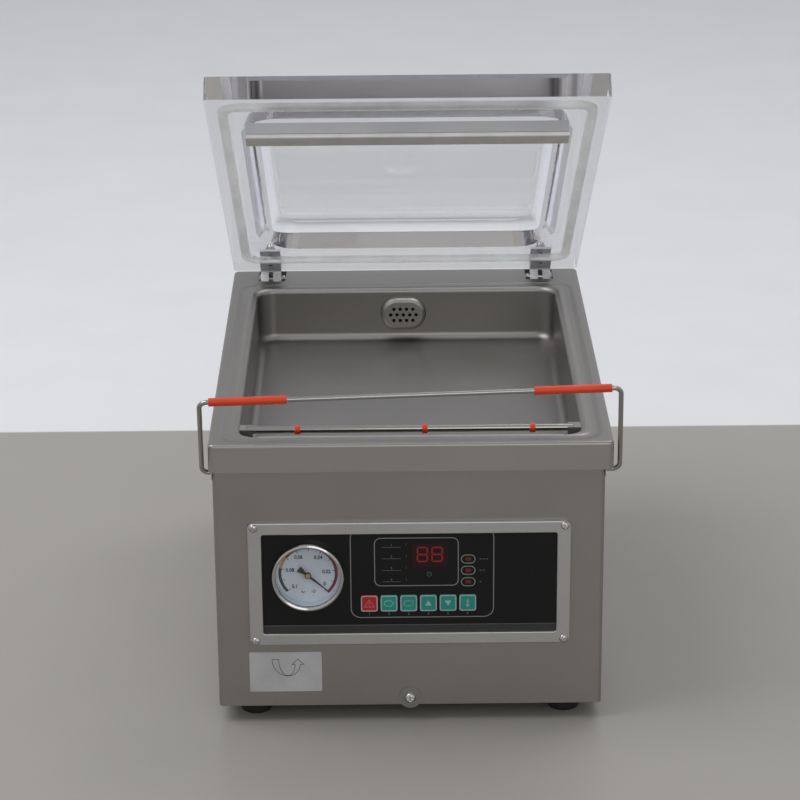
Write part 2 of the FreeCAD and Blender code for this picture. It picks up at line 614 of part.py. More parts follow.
def lock_washer():
    ring = tube_y(CAB_X, CAB_FRONT - 1.2, CAB_FRONT, LOCK_Z, 9.5)
    return ring.cut(tube_y(CAB_X, CAB_FRONT - 2, CAB_FRONT + 1, LOCK_Z, 2.6))


# ---- suction and pump ----
def vent_grille(deck):
    """Raised oval cover on the suction port, with holes in rows of four, five and four."""
    y = FRONT + CHAMBER_BACK
    rims = []
    for w, h, at in ((43.5, 32, 1.0), (42.6, 31.1, -3.5), (40.5, 29, -5.6), (36, 24.5, -7.0)):
        wire = round_rect(-w / 2, w / 2, -h / 2, h / 2, -at, h / 2 - 0.1)
        rims.append(wire)
    body = Part.makeLoft(rims, True, True)
    hollow = slab(-14, 14, -8.5, 8.5, -3, 5.0, 8.4)
    body = body.cut(hollow)
    for row, count in ((-1, 4), (0, 5), (1, 4)):
        for i in range(count):
            body = body.cut(tube_z((i - (count - 1) / 2) * 6.0, row * 5.55, -3, 9, 1.7))
    stand(body, PORT_X, y, PORT_Z)
    return max(body.cut(deck).Solids, key=lambda s: s.Volume)


def valve_block(deck, grille):
    """Solenoid valve block clamped behind the port, its hose nipple pointing down."""
    y = FRONT + CHAMBER_BACK
    flange = front_plate(PORT_X, PORT_Z, 46, 34, 6, y - 2, y + 6)
    block = flange.cut(deck).cut(grille)
    block = max(block.Solids, key=lambda s: s.BoundBox.YMax)
    block = block.fuse(box(PORT_X - 20, PORT_X + 20, y + 5, y + 36, PORT_Z - 18, PORT_Z + 16))
    block = block.fuse(tube_z(PORT_X, y + 22, HOSE_TOP + 0.6, PORT_Z - 17, 5.5))
    for side in (-1, 1):
        x0, x1 = sorted((PORT_X + side * 19.0, PORT_X + side * 56.0))
        block = block.fuse(tube_x(x0, x1, y + 22, PORT_Z, 13))
        n0, n1 = sorted((PORT_X + side * 55.0, PORT_X + side * 59.0))
        block = block.fuse(tube_x(n0, n1, y + 22, PORT_Z, 6))
    return block


def pump_hose():
    z = 105.0
    bend = 62.0
    points = [V(PORT_X, HOSE_Y, HOSE_TOP), V(PORT_X, HOSE_Y, z), V(PORT_X, PUMP_Y + 62.3, z)]
    return bent_wire(points, bend, HOSE_R)


def pump_motor():
    """Finned motor with its end bell and terminal box."""
    x0, z = 56.0, 84.0
    body = tube_x(x0, x0 + 84, PUMP_Y, z, 40)
    for i in range(9):
        body = body.fuse(tube_x(x0 + 8 + i * 8, x0 + 11 + i * 8, PUMP_Y, z, 45))
    bell = turned([(0, 0), (44, 0), (44, 6), (34, 13), (0, 13)], x0 + 84, PUMP_Y, z, V(1, 0, 0))
    body = body.fuse(bell)
    body = body.fuse(box(x0 + 18, x0 + 66, PUMP_Y - 20, PUMP_Y + 20, z + 36, z + 62))
    for x in (x0 + 12, x0 + 62):
        body = body.fuse(box(x, x + 12, PUMP_Y - 34, PUMP_Y + 34, TRAY_TOP + 6, z - 20))
    return body.removeSplitter()


def pump_case():
    """Cast oil case of the rotary vane pump with cooling ribs and a filler cap."""
    x0, x1 = -62.0, 56.0
    case = box(x0, x1, PUMP_Y - 48, PUMP_Y + 48, TRAY_TOP + 6, 136)
    case = case.makeFillet(8, [e for e in case.Edges if e.BoundBox.ZLength > 50])
    for i in range(7):
        x = x0 + 14 + i * 15
        case = case.fuse(box(x, x + 3, PUMP_Y - 54, PUMP_Y + 54, 40, 126))
    case = case.fuse(tube_y(PORT_X, PUMP_Y + 47, PUMP_Y + 62, 105, 9))
    case = case.fuse(tube_z(-38, PUMP_Y - 18, 135, 146, 11))
    case = case.fuse(tube_z(20, PUMP_Y + 14, 135, 150, 20))
    window = tube_x(x0 - 1, x0 + 4, PUMP_Y, 70, 13)
    return case.cut(window).removeSplitter()


def oil_window():
    return tube_x(-63.0, -58.0, PUMP_Y, 70, 13)


def pump_mount(x, y):
    return turned([(0, 0), (9, 0), (7, 3), (9, 6), (0, 6)], x, y, TRAY_TOP, V(0, 0, 1))


def transformer_core():
    x, y = -112.0, FRONT + 95
    core = box(x - 35, x + 35, y - 18, y + 18, TRAY_TOP + 2, TRAY_TOP + 62)
    for side in (-1, 1):
        core = core.cut(box(x + side * 12 - 6, x + side * 12 + 6, y - 19, y + 19,
                            TRAY_TOP + 14, TRAY_TOP + 50))
    feet = box(x - 44, x + 44, y - 18, y + 18, TRAY_TOP, TRAY_TOP + 2)
    return core.fuse(feet)


def transformer_coil():
    x, y = -112.0, FRONT + 95
    coil = box(x - 18, x + 18, y - 30, y + 30, TRAY_TOP + 14, TRAY_TOP + 50)
    coil = coil.makeFillet(6, [e for e in coil.Edges if e.BoundBox.ZLength > 30])
    return coil.cut(box(x - 6, x + 6, y - 18, y + 18, TRAY_TOP + 13, TRAY_TOP + 51))


# ---- rear ----
def tilt_leaf_lower(x):
    leaf = tube_x(x - 6, x + 6, TILT.y, TILT.z, 3.5)
    leaf = leaf.fuse(box(x - 6, x + 6, CAB_REAR - 30, TILT.y, TRAY_TOP, TRAY_TOP + 2))
    leaf = leaf.fuse(box(x - 6, x + 6, TILT.y - 1, TILT.y + 2, TRAY_TOP, TILT.z))
    return leaf.cut(tube_x(x - 7, x + 7, TILT.y, TILT.z, 2.0))


def tilt_leaf_upper(x):
    leaf = box(x - 14, x + 14, CAB_REAR, CAB_REAR + 2, TILT.z + 6.5, TILT.z + 34)
    for side in (-1, 1):
        x0, x1 = sorted((x + side * 6.4, x + side * 14))
        leaf = leaf.fuse(tube_x(x0, x1, TILT.y, TILT.z, 3.5))
        leaf = leaf.fuse(box(x0, x1, CAB_REAR, CAB_REAR + 3, TILT.z, TILT.z + 7))
    return leaf.cut(tube_x(x - 15, x + 15, TILT.y, TILT.z, 2.06))


def tilt_pin(x):
    return tube_x(x - 15.5, x + 15.5, TILT.y, TILT.z, 2.0)


def power_inlet():
    """Three-pin mains inlet with its flange."""
    x, z = INLET_X, INLET_Z
    body = box(x - 13.5, x + 13.5, CAB_REAR - 26, CAB_REAR, z - 9.9, z + 9.9)
    body = body.fuse(box(x - 20, x + 20, CAB_REAR, CAB_REAR + 2.5, z - 12.5, z + 12.5))
    body = body.cut(box(x - 12, x + 12, CAB_REAR - 15, CAB_REAR + 3, z - 8, z + 8))
    for dx, dz in ((-7, -1), (7, -1), (0, 3)):
        body = body.fuse(box(x + dx - 1, x + dx + 1, CAB_REAR - 16, CAB_REAR - 2, z + dz - 2, z + dz + 2))
    return body


def switch_frame():
    x, z = SWITCH_X, INLET_Z
    body = box(x - 9.5, x + 9.5, CAB_REAR - 22, CAB_REAR, z - 12.9, z + 12.9)
    body = body.fuse(box(x - 11, x + 11, CAB_REAR, CAB_REAR + 2, z - 15.5, z + 15.5))
    return body.cut(box(x - 7.6, x + 7.6, CAB_REAR - 12, CAB_REAR + 3, z - 12, z + 12))


def switch_rocker():
    """Rocker with two shallow faces, its lower half pressed in."""
    x, z = SWITCH_X, INLET_Z
    pivot = CAB_REAR - 5.5
    sides = [(-3, -8), (-3, 8), (6.9, 10), (5.4, 0), (6.9, -10)]
    points = [V(x - 7.2, pivot + y, z + h) for y, h in sides]
    rocker = Part.Face(Part.makePolygon(points + points[:1])).extrude(V(14.4, 0, 0))
    rocker.rotate(V(0, pivot, z), V(1, 0, 0), -11)
    return rocker


# ---- all nodes ----
def build():
    deck = deck_chamber()
    both = (-1, 1)
    add("base_tray", base_tray())
    add("rubber_feet", *[foot(x, y) for x, y in FEET])
    add("foot_screws", *[foot_screw(x, y) for x, y in FEET])
    add("pump_motor", pump_motor())
    add("pump_case", pump_case())
    add("pump_oil_window", oil_window())
    add("pump_mounts", *[pump_mount(x, PUMP_Y + dy) for x in (-46, 40, 74, 124) for dy in (-26, 26)])
    add("pump_hose", pump_hose())
    add("transformer_core", transformer_core())
    add("transformer_coil", transformer_coil())
    add("housing_hinge_lower", *[tilt_leaf_lower(s * TILT_X) for s in both])
    add("housing_hinge_pins", *[tilt_pin(s * TILT_X) for s in both])
    add("cabinet_shell", cabinet_shell())
    add("housing_hinge_upper", *[tilt_leaf_upper(s * TILT_X) for s in both])
    add("lock_screw", lock_screw())
    add("lock_washer", lock_washer())
    add("deck_chamber", deck)
    grille = vent_grille(deck)
    add("vent_grille", grille)
    add("valve_block", valve_block(deck, grille))
    add("panel_bezel", panel_bezel())
    add("bezel_screws", *[bezel_screw(x, z) for x, z in screw_spots()])
    add("panel_plate", panel_plate())
    add("display_window", display_window())
    add("control_board", control_board())
    add("gauge_case", gauge_case())
    add("gauge_dial", gauge_disc(DIAL_IN, 0.8).cut(gauge_disc(DIAL_IN - 1, 3, 1.2)))
    add("gauge_glass", gauge_disc(-8.0, 1.6))
    add("gauge_needle", gauge_needle())
    for i in range(KEYS):
        add("key_%d" % (i + 1), key_cap(i))
    add("lid_brackets", *[lid_bracket(s) for s in both])
    add("lid_pins", *[lid_pin(s) for s in both])
    add("lid_springs", *[lid_spring(s) for s in both])
    add("bail_bushes", *[bail_bush(s) for s in both])
    add("lift_cylinders", *[lift_cylinder(s) for s in both])
    add("clip_posts", *[clip_post(s, deck) for s in both])
    add("power_inlet", power_inlet())
    add("switch_frame", switch_frame())
    add("switch_rocker", switch_rocker())
    add("lid_panel", lid_panel())
    add("lid_gasket", lid_gasket())
    add("lid_leaves", *[lid_leaf(s) for s in both])
    add("lid_bolts", *[lid_bolt(s * HINGE_X) for s in both])
    add("counter_channel", counter_channel())
    add("counter_rubber", counter_rubber())
    add("bail_wire", bail_wire())
    add("bail_sleeves", *[bail_sleeve(s) for s in both])
    add("seal_bar", seal_bar())
    add("seal_bar_insulator", seal_bar_insulator())
    add("heating_strip", heating_strip())
    add("release_tape", release_tape())
    add("lift_rods", *[lift_rod(s) for s in both])
    add("clip_rod", clip_rod())
    add("clip_rings", *[clip_ring(x) for x in (-93, 12, 101)])


build()
os.makedirs("parts", exist_ok=True)
for name, shape in nodes.items():
    shape.exportStep("parts/%s.step" % name)
    b = shape.BoundBox
    print("%-20s %7.0f mm3" % (name, shape.Volume),
          " x %6.1f %6.1f  y %6.1f %6.1f  z %6.1f %6.1f " % (b.XMin, b.XMax, b.YMin, b.YMax, b.ZMin, b.ZMax),
          "valid", shape.isValid(), "solids", len(shape.Solids))
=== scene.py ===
import bmesh
import bpy
import json
import math
from mathutils import Matrix, Vector


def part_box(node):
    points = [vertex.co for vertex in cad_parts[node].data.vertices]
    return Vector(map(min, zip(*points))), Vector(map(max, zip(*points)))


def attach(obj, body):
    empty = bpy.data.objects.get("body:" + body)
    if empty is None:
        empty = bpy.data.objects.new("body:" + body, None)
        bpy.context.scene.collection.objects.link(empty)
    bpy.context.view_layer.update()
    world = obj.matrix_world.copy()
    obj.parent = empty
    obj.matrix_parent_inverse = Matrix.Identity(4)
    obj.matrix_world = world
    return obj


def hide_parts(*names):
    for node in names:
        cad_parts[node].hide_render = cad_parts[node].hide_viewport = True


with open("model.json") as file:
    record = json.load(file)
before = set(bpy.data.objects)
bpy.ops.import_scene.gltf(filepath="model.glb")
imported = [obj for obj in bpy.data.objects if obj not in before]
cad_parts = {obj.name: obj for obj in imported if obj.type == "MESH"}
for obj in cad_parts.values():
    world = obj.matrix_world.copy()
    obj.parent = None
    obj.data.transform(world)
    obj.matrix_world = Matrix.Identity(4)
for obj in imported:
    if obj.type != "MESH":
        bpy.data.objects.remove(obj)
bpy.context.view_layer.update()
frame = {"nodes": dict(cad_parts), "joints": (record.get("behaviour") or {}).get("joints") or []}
nodes = frame["nodes"]
joints = {joint["name"]: joint for joint in frame["joints"]}
mm = 0.001

# places read from the frame
deckLow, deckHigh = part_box("deck_chamber")
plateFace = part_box("panel_plate")[0].y
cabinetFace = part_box("cabinet_shell")[0].y
hingeAxis = Vector(joints["lid_hinge"]["pos_m"])


def middle(node):
    low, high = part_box(node)
    return (low + high) / 2


viewpoint = {
    "place": (-18.6, -2289.2, 1066.4), "turn": 0.28, "tip": 20.59, "roll": -0.45,  # mm and degrees
    "lens": 123.5, "sensor": 36, "farClip": 60,
}


def placeCamera():
    data = bpy.data.cameras.new("camera")
    data.lens = viewpoint["lens"]
    data.sensor_width = viewpoint["sensor"]
    data.clip_end = viewpoint["farClip"]
    camera = bpy.data.objects.new("camera", data)
    bpy.context.scene.collection.objects.link(camera)
    turn, tip, roll = (math.radians(viewpoint[key]) for key in ("turn", "tip", "roll"))
    heading = Matrix.Rotation(-turn, 4, "Z") @ Matrix.Rotation(math.pi / 2 - tip, 4, "X")
    aim = heading @ Matrix.Rotation(roll, 4, "Z")
    camera.matrix_world = Matrix.Translation(Vector(viewpoint["place"]) * mm) @ aim
    bpy.context.scene.camera = camera


def put(tree, kind, inputs=None, **settings):
    made = tree.nodes.new(kind)
    for key, value in settings.items():
        setattr(made, key, value)
    for key, value in (inputs or {}).items():
        if isinstance(value, bpy.types.NodeSocket):
            tree.links.new(value, made.inputs[key])
        else:
            made.inputs[key].default_value = value
    return made


roomLight = {
    "ambient": (0.50, 0.51, 0.53), "seen": (0.60, 0.605, 0.615),
    "lamps": (
        ("window_lamp", (-1.5, -0.3, 2.5), 1.8, 34.0),  # name, place, size, watts
        ("ceiling_lamp", (0.9, 1.1, 2.6), 1.6, 16.0),
        ("front_fill", (0.7, -3.0, 1.5), 1.6, 10.0),
    ),
}


def lightRoom():
    world = bpy.data.worlds.new("room")
    bpy.context.scene.world = world
    world.use_nodes = True
    tree = world.node_tree
    tree.nodes.clear()
    rays = put(tree, "ShaderNodeLightPath")
    shown = rays.outputs["Is Camera Ray"]
    for kind in ("Is Glossy Ray", "Is Transmission Ray"):
        either = put(tree, "ShaderNodeMath", {0: shown, 1: rays.outputs[kind]}, operation="MAXIMUM")
        shown = either.outputs[0]
    ambient = put(tree, "ShaderNodeBackground", {"Color": (*roomLight["ambient"], 1)})
    seen = put(tree, "ShaderNodeBackground", {"Color": (*roomLight["seen"], 1)})
    mixed = put(tree, "ShaderNodeMixShader", {0: shown, 1: ambient.outputs[0], 2: seen.outputs[0]})
    put(tree, "ShaderNodeOutputWorld", {"Surface": mixed.outputs[0]})
    aim = (deckLow + deckHigh) / 2
    for name, place, size, watts in roomLight["lamps"]:
        data = bpy.data.lights.new(name, "AREA")
        data.size = size
        data.energy = watts
        lamp = bpy.data.objects.new(name, data)
        lamp.location = place
        lamp.rotation_euler = (aim - Vector(place)).to_track_quat("-Z", "Y").to_euler()
        bpy.context.scene.collection.objects.link(lamp)


floorLook = {
    "tile": (0.34, 0.322, 0.288), "wall": (0.74, 0.745, 0.755),
    "change": 0.46, "blend": 0.004, "reach": 9.0,  # metres: where the tones meet, and half the floor's size
    "cloud": 9.0, "tint": (0.96, 1.04), "roughness": (0.32, 0.9), "shine": 0.35,
}


def layFloor():
    mesh = bpy.data.meshes.new("floor")
    reach = floorLook["reach"]
    mesh.from_pydata([(-reach, -reach, 0), (reach, -reach, 0), (reach, reach, 0), (-reach, reach, 0)],
                     [], [(0, 1, 2, 3)])
    floor = bpy.data.objects.new("floor", mesh)
    bpy.context.scene.collection.objects.link(floor)
    look = bpy.data.materials.new("floor")
    look.use_nodes = True
    tree = look.node_tree
    shader = tree.nodes["Principled BSDF"]
    place = put(tree, "ShaderNodeTexCoord")
    axes = put(tree, "ShaderNodeSeparateXYZ", {0: place.outputs["Object"]})
    share = put(tree, "ShaderNodeMapRange", {"Value": axes.outputs["Y"], "From Min": floorLook["change"],
                                             "From Max": floorLook["change"] + floorLook["blend"]})
    cloud = put(tree, "ShaderNodeTexNoise", {"Vector": place.outputs["Object"], "Scale": floorLook["cloud"],
                                             "Detail": 5.0})
    tint = put(tree, "ShaderNodeMapRange", {"Value": cloud.outputs["Fac"], "To Min": floorLook["tint"][0],
                                            "To Max": floorLook["tint"][1]})
    mix = put(tree, "ShaderNodeMix", {0: share.outputs[0]}, data_type="RGBA")
    mix.inputs["A"].default_value = (*floorLook["tile"], 1)
    mix.inputs["B"].default_value = (*floorLook["wall"], 1)
    shade = put(tree, "ShaderNodeVectorMath", {0: mix.outputs["Result"], "Scale": tint.outputs[0]},
                operation="SCALE")
    tree.links.new(shade.outputs[0], shader.inputs["Base Color"])
    rough = put(tree, "ShaderNodeMapRange", {"Value": share.outputs[0], "To Min": floorLook["roughness"][0],
                                             "To Max": floorLook["roughness"][1]})
    tree.links.new(rough.outputs[0], shader.inputs["Roughness"])
    shader.inputs["Specular IOR Level"].default_value = floorLook["shine"]
    mesh.materials.append(look)


placeCamera()
lightRoom()
layFloor()
bpy.context.scene.view_settings.view_transform = "Standard"
print("camera, lamps and floor placed")


grainLook = {
    "span": (0.3, 0.7),  # nearly all values of a noise lie between these
    "roughness": (0.85, 1.15), "metalCloud": 14.0, "plasticCloud": 40.0,
}


def newFinish(name, colour, metallic, roughness, **sockets):
    made = bpy.data.materials.new(name)
    made.use_nodes = True
    shader = made.node_tree.nodes["Principled BSDF"]
    shader.inputs["Base Color"].default_value = (*colour, 1)
    shader.inputs["Metallic"].default_value = metallic
    shader.inputs["Roughness"].default_value = roughness
    for key, value in sockets.items():
        shader.inputs[key.replace("_", " ")].default_value = value
    return made


def grain(tree, scale, stretch=(1, 1, 1), detail=4.0, roughness=0.6):
    place = put(tree, "ShaderNodeTexCoord")
    spread = put(tree, "ShaderNodeMapping", {"Vector": place.outputs["Object"], "Scale": stretch})
    return put(tree, "ShaderNodeTexNoise", {"Vector": spread.outputs[0], "Scale": scale, "Detail": detail,
                                            "Roughness": roughness}).outputs["Fac"]


def varyColour(look, factors, low, high):
    tree = look.node_tree
    shader = tree.nodes["Principled BSDF"]
    base = shader.inputs["Base Color"].default_value[:]
    value = factors[0]
    for other in factors[1:]:
        value = put(tree, "ShaderNodeMath", {0: value, 1: other}, operation="ADD").outputs[0]
    least, most = (edge * len(factors) for edge in grainLook["span"])
    span = put(tree, "ShaderNodeMapRange", {"Value": value, "From Min": least, "From Max": most})
    mix = put(tree, "ShaderNodeMix", {0: span.outputs[0]}, data_type="RGBA")
    mix.inputs["A"].default_value = (*(channel * low for channel in base[:3]), 1)
    mix.inputs["B"].default_value = (*(min(channel * high, 1) for channel in base[:3]), 1)
    tree.links.new(mix.outputs["Result"], shader.inputs["Base Color"])


def varyRoughness(look, factor, low, high):
    tree = look.node_tree
    least, most = grainLook["span"]
    span = put(tree, "ShaderNodeMapRange", {"Value": factor, "From Min": least, "From Max": most,
                                            "To Min": low, "To Max": high})
    tree.links.new(span.outputs[0], tree.nodes["Principled BSDF"].inputs["Roughness"])


def addBump(look, factor, distance):
    tree = look.node_tree
    shader = tree.nodes["Principled BSDF"]
    bump = put(tree, "ShaderNodeBump", {"Height": factor, "Distance": distance, "Strength": 1.0})
    if shader.inputs["Normal"].links:
        tree.links.new(shader.inputs["Normal"].links[0].from_socket, bump.inputs["Normal"])
    tree.links.new(bump.outputs[0], shader.inputs["Normal"])


def brushedMetal(name, colour, roughness, fine, stretch, mottle=(0.93, 1.07), bump=0.00002):
    look = newFinish(name, colour, 1.0, roughness)
    tree = look.node_tree
    brush = grain(tree, fine, stretch, 3.0)
    cloud = grain(tree, grainLook["metalCloud"], detail=5.0)
    varyColour(look, [brush, cloud], *mottle)
    varyRoughness(look, cloud, *(roughness * share for share in grainLook["roughness"]))
    addBump(look, brush, bump)
    return look


def mouldedPlastic(name, colour, roughness, fine=900.0, bump=0.00004, vary=(0.9, 1.1), **sockets):
    look = newFinish(name, colour, 0.0, roughness, **sockets)
    tree = look.node_tree
    fineGrain = grain(tree, fine, detail=2.0)
    cloud = grain(tree, grainLook["plasticCloud"])
    varyColour(look, [cloud], *vary)
    varyRoughness(look, cloud, *(roughness * share for share in grainLook["roughness"]))
    addBump(look, fineGrain, bump)
    return look


deckLook = {
    "colour": (0.305, 0.293, 0.278), "roughness": 0.38,
    "paintedTopShade": 0.9, "paintedSkirtLight": 1.3,  # painted shade darkens the top, painted light brightens the skirt
    "skirtFrom": (10.5, 11.5), "belowTop": (0.8, 2.0),  # mm outside the groove's line, mm under the top
}
gasketGroove = {"across": 151.0, "front": -210.5, "rear": 187.5, "corner": 14.0, "width": 15.0, "depth": 1.2}


def fromGroove(tree, place):  # signed distance from the groove's rounded line, and the folded place
    half = (gasketGroove["rear"] - gasketGroove["front"]) / 2
    corner = gasketGroove["corner"]
    centre = (0, (gasketGroove["front"] + half) * mm, deckHigh.z)
    centred = put(tree, "ShaderNodeVectorMath", {0: place, 1: centre}, operation="SUBTRACT")
    folded = put(tree, "ShaderNodeVectorMath", {0: centred.outputs[0]}, operation="ABSOLUTE")
    straight = ((gasketGroove["across"] - corner) * mm, (half - corner) * mm, 1)
    past = put(tree, "ShaderNodeVectorMath", {0: folded.outputs[0], 1: straight}, operation="SUBTRACT")
    beyond = put(tree, "ShaderNodeVectorMath", {0: past.outputs[0], 1: (0, 0, 0)}, operation="MAXIMUM")
    reach = put(tree, "ShaderNodeVectorMath", {0: beyond.outputs[0]}, operation="LENGTH")
    offset = put(tree, "ShaderNodeMath", {0: reach.outputs["Value"], 1: corner * mm}, operation="SUBTRACT")
    return offset.outputs[0], folded.outputs[0]


def deckSteel():
    look = brushedMetal("deck_stainless", deckLook["colour"], deckLook["roughness"], 260.0, (1, 9, 9),
                        (0.97, 1.03), 0.000006)
    tree = look.node_tree
    offset, folded = fromGroove(tree, put(tree, "ShaderNodeTexCoord").outputs["Object"])
    away = put(tree, "ShaderNodeMath", {0: offset}, operation="ABSOLUTE")
    width = gasketGroove["width"] * mm
    dip = put(tree, "ShaderNodeMapRange", {"Value": away.outputs[0], "From Min": width * 0.1,
                                           "From Max": width * 0.5}, interpolation_type="SMOOTHSTEP")
    axes = put(tree, "ShaderNodeSeparateXYZ", {0: folded})
    upper, under = (depth * mm for depth in deckLook["belowTop"])
    lower = put(tree, "ShaderNodeMapRange", {"Value": axes.outputs["Z"], "From Min": upper,
                                             "From Max": under})
    height = put(tree, "ShaderNodeMath", {0: dip.outputs[0], 1: lower.outputs[0]}, operation="MAXIMUM")
    addBump(look, height.outputs[0], gasketGroove["depth"] * mm)
    # painted light and shade: the skirt outside the groove's line is brightened and the top darkened
    near, far = (gap * mm for gap in deckLook["skirtFrom"])
    outer = put(tree, "ShaderNodeMapRange", {"Value": offset, "From Min": near, "From Max": far})
    paintedLightMask = put(tree, "ShaderNodeMath", {0: outer.outputs[0], 1: lower.outputs[0]}, operation="MULTIPLY")
    shade = put(tree, "ShaderNodeMapRange", {"Value": paintedLightMask.outputs[0], "To Min": deckLook["paintedTopShade"],
                                             "To Max": deckLook["paintedSkirtLight"]})
    base = tree.nodes["Principled BSDF"].inputs["Base Color"]
    shaded = put(tree, "ShaderNodeVectorMath", {0: base.links[0].from_socket, "Scale": shade.outputs[0]},
                 operation="SCALE")
    tree.links.new(shaded.outputs[0], base)
    return look


def letThrough(look, kind, tint):  # rays of this kind pass straight through, tinted
    tree = look.node_tree
    surface = tree.nodes["Material Output"].inputs["Surface"]
    rays = put(tree, "ShaderNodeLightPath")
    clear = put(tree, "ShaderNodeBsdfTransparent", {"Color": (*tint, 1)})
    mixed = put(tree, "ShaderNodeMixShader", {0: rays.outputs[kind], 1: surface.links[0].from_socket,
                                              2: clear.outputs[0]})
    tree.links.new(mixed.outputs[0], surface)


acrylicLook = {
    "colour": (0.99, 0.99, 0.995), "roughness": 0.02, "bend": 1.2, "coat": 0.5, "coatRoughness": 0.04,
    "tint": (0.50, 0.52, 0.95), "density": 1.1, "smear": 22.0, "smearRoughness": (0.01, 0.03),
    "inside": (0.97, 0.97, 0.985), "shadow": (0.94, 0.94, 0.95),
}


def clearAcrylic():
    look = newFinish("clear_acrylic", acrylicLook["colour"], 0.0, acrylicLook["roughness"],
                     Transmission_Weight=1.0, IOR=acrylicLook["bend"], Coat_Weight=acrylicLook["coat"],
                     Coat_Roughness=acrylicLook["coatRoughness"])
    tree = look.node_tree
    varyRoughness(look, grain(tree, acrylicLook["smear"]), *acrylicLook["smearRoughness"])
    depth = put(tree, "ShaderNodeVolumeAbsorption", {"Color": (*acrylicLook["tint"], 1),
                                                     "Density": acrylicLook["density"]})
    tree.links.new(depth.outputs[0], tree.nodes["Material Output"].inputs["Volume"])
    letThrough(look, "Is Reflection Ray", acrylicLook["inside"])  # reflected light leaves at its next face
    letThrough(look, "Is Shadow Ray", acrylicLook["shadow"])
    return look


finishes = {
    "stainless": brushedMetal("satin_stainless", (0.332, 0.319, 0.298), 0.42, 260.0, (1, 9, 9),
                              (0.95, 1.05)),
    "tray_steel": brushedMetal("galvanised_tray", (0.42, 0.43, 0.44), 0.5, 30.0, (1, 1, 1), (0.8, 1.2)),
    "rubber_black": mouldedPlastic("foot_rubber", (0.012, 0.012, 0.012), 0.75, 1400.0, 0.0001),
    "bright_steel": brushedMetal("polished_steel", (0.50, 0.49, 0.475), 0.14, 500.0, (1, 1, 1),
                                 (0.94, 1.06)),
    "plated_steel": brushedMetal("zinc_plate", (0.60, 0.60, 0.61), 0.58, 900.0, (1, 1, 1), (0.9, 1.1)),
    "acrylic": clearAcrylic(),
    "silicone_white": mouldedPlastic("gasket_silicone", (0.86, 0.86, 0.84), 0.5, 600.0, 0.0001,
                                     Transmission_Weight=0.85, IOR=1.05),
    "aluminium": brushedMetal("extruded_aluminium", (0.52, 0.52, 0.52), 0.38, 300.0, (0.2, 12, 12)),
    "orange_silicone": mouldedPlastic("orange_silicone", (0.64, 0.045, 0.006), 0.34, 500.0, 0.00005,
                                      Subsurface_Weight=0.05, Subsurface_Scale=0.002),
    "panel_black": mouldedPlastic("panel_film", (0.0055, 0.0055, 0.006), 0.32, 2200.0, 0.00001,
                                  Specular_IOR_Level=0.25),
    "key_teal": mouldedPlastic("teal_key_film", (0.01, 0.27, 0.21), 0.38, 1500.0, 0.00002),
    "key_red": mouldedPlastic("red_key_film", (0.47, 0.008, 0.012), 0.38, 1500.0, 0.00002),
    "window_red": mouldedPlastic("display_window", (0.018, 0.002, 0.003), 0.2, 900.0, 0.000005,
                                 Specular_IOR_Level=0.3),
    "dial_white": mouldedPlastic("dial_enamel", (0.55, 0.60, 0.68), 0.42, 1200.0, 0.00001, (0.97, 1.03)),
    "gauge_glass": newFinish("gauge_glass", (1, 1, 1), 0.0, 0.0, Transmission_Weight=1.0, IOR=1.3),
    "needle_black": mouldedPlastic("needle_lacquer", (0.01, 0.01, 0.01), 0.4),
    "motor_grey": mouldedPlastic("motor_paint", (0.10, 0.12, 0.14), 0.4, 350.0, 0.0002),
    "copper": brushedMetal("copper_winding", (0.62, 0.24, 0.09), 0.35, 900.0, (1, 1, 12)),
    "board_green": mouldedPlastic("board_lacquer", (0.01, 0.11, 0.04), 0.3, 300.0, 0.00005),
    "nylon_white": mouldedPlastic("white_nylon", (0.62, 0.61, 0.57), 0.45, 700.0, 0.00005),
    "black_plastic": mouldedPlastic("black_plastic", (0.018, 0.018, 0.019), 0.42, 1100.0, 0.00006),
    "tape_brown": mouldedPlastic("glass_cloth_tape", (0.34, 0.315, 0.28), 0.5, 900.0, 0.0001),
    "oil_glass": newFinish("oil_glass", (0.9, 0.75, 0.35), 0.0, 0.05, Transmission_Weight=0.8),
    "brass_block": brushedMetal("brass", (0.50, 0.40, 0.23), 0.3, 500.0, (1, 1, 1)),
}
letThrough(finishes["gauge_glass"], "Is Shadow Ray", (0.96, 0.97, 0.97))
prints = {
    "line": mouldedPlastic("grey_print", (0.24, 0.24, 0.245), 0.5),
    "faint": mouldedPlastic("faint_print", (0.13, 0.13, 0.133), 0.5),
    "ring": mouldedPlastic("key_outline_print", (0.40, 0.43, 0.46), 0.45),
    "mark": mouldedPlastic("pale_key_mark", (0.30, 0.52, 0.47), 0.45),
    "redMark": mouldedPlastic("pink_key_mark", (0.75, 0.18, 0.20), 0.45),
    "lamp": mouldedPlastic("unlit_red_lamp", (0.13, 0.006, 0.006), 0.3),
    "digit": newFinish("dim_red_segment", (0.10, 0.004, 0.004), 0.0, 0.3,
                       Emission_Color=(0.75, 0.012, 0.01, 1), Emission_Strength=0.12),
    "ledge": mouldedPlastic("dark_ledge", (0.026, 0.026, 0.028), 0.4),
    "ledgeEdge": mouldedPlastic("ledge_edge", (0.10, 0.095, 0.09), 0.4),
    "red": mouldedPlastic("dial_red", (0.155, 0.012, 0.022), 0.45),
    "orange": mouldedPlastic("dial_orange", (0.50, 0.29, 0.10), 0.45),
    "green": mouldedPlastic("dial_green", (0.022, 0.075, 0.05), 0.45),
    "ink": mouldedPlastic("dark_ink", (0.02, 0.02, 0.025), 0.5),
    # painted shade: the white sticker is greyed to the shade of the cabinet front
    "paper": mouldedPlastic("shade_greyed_sticker", (0.47, 0.475, 0.47), 0.45, 500.0, 0.00002),
    "chalk": mouldedPlastic("white_print", (0.6, 0.6, 0.6), 0.5),
}

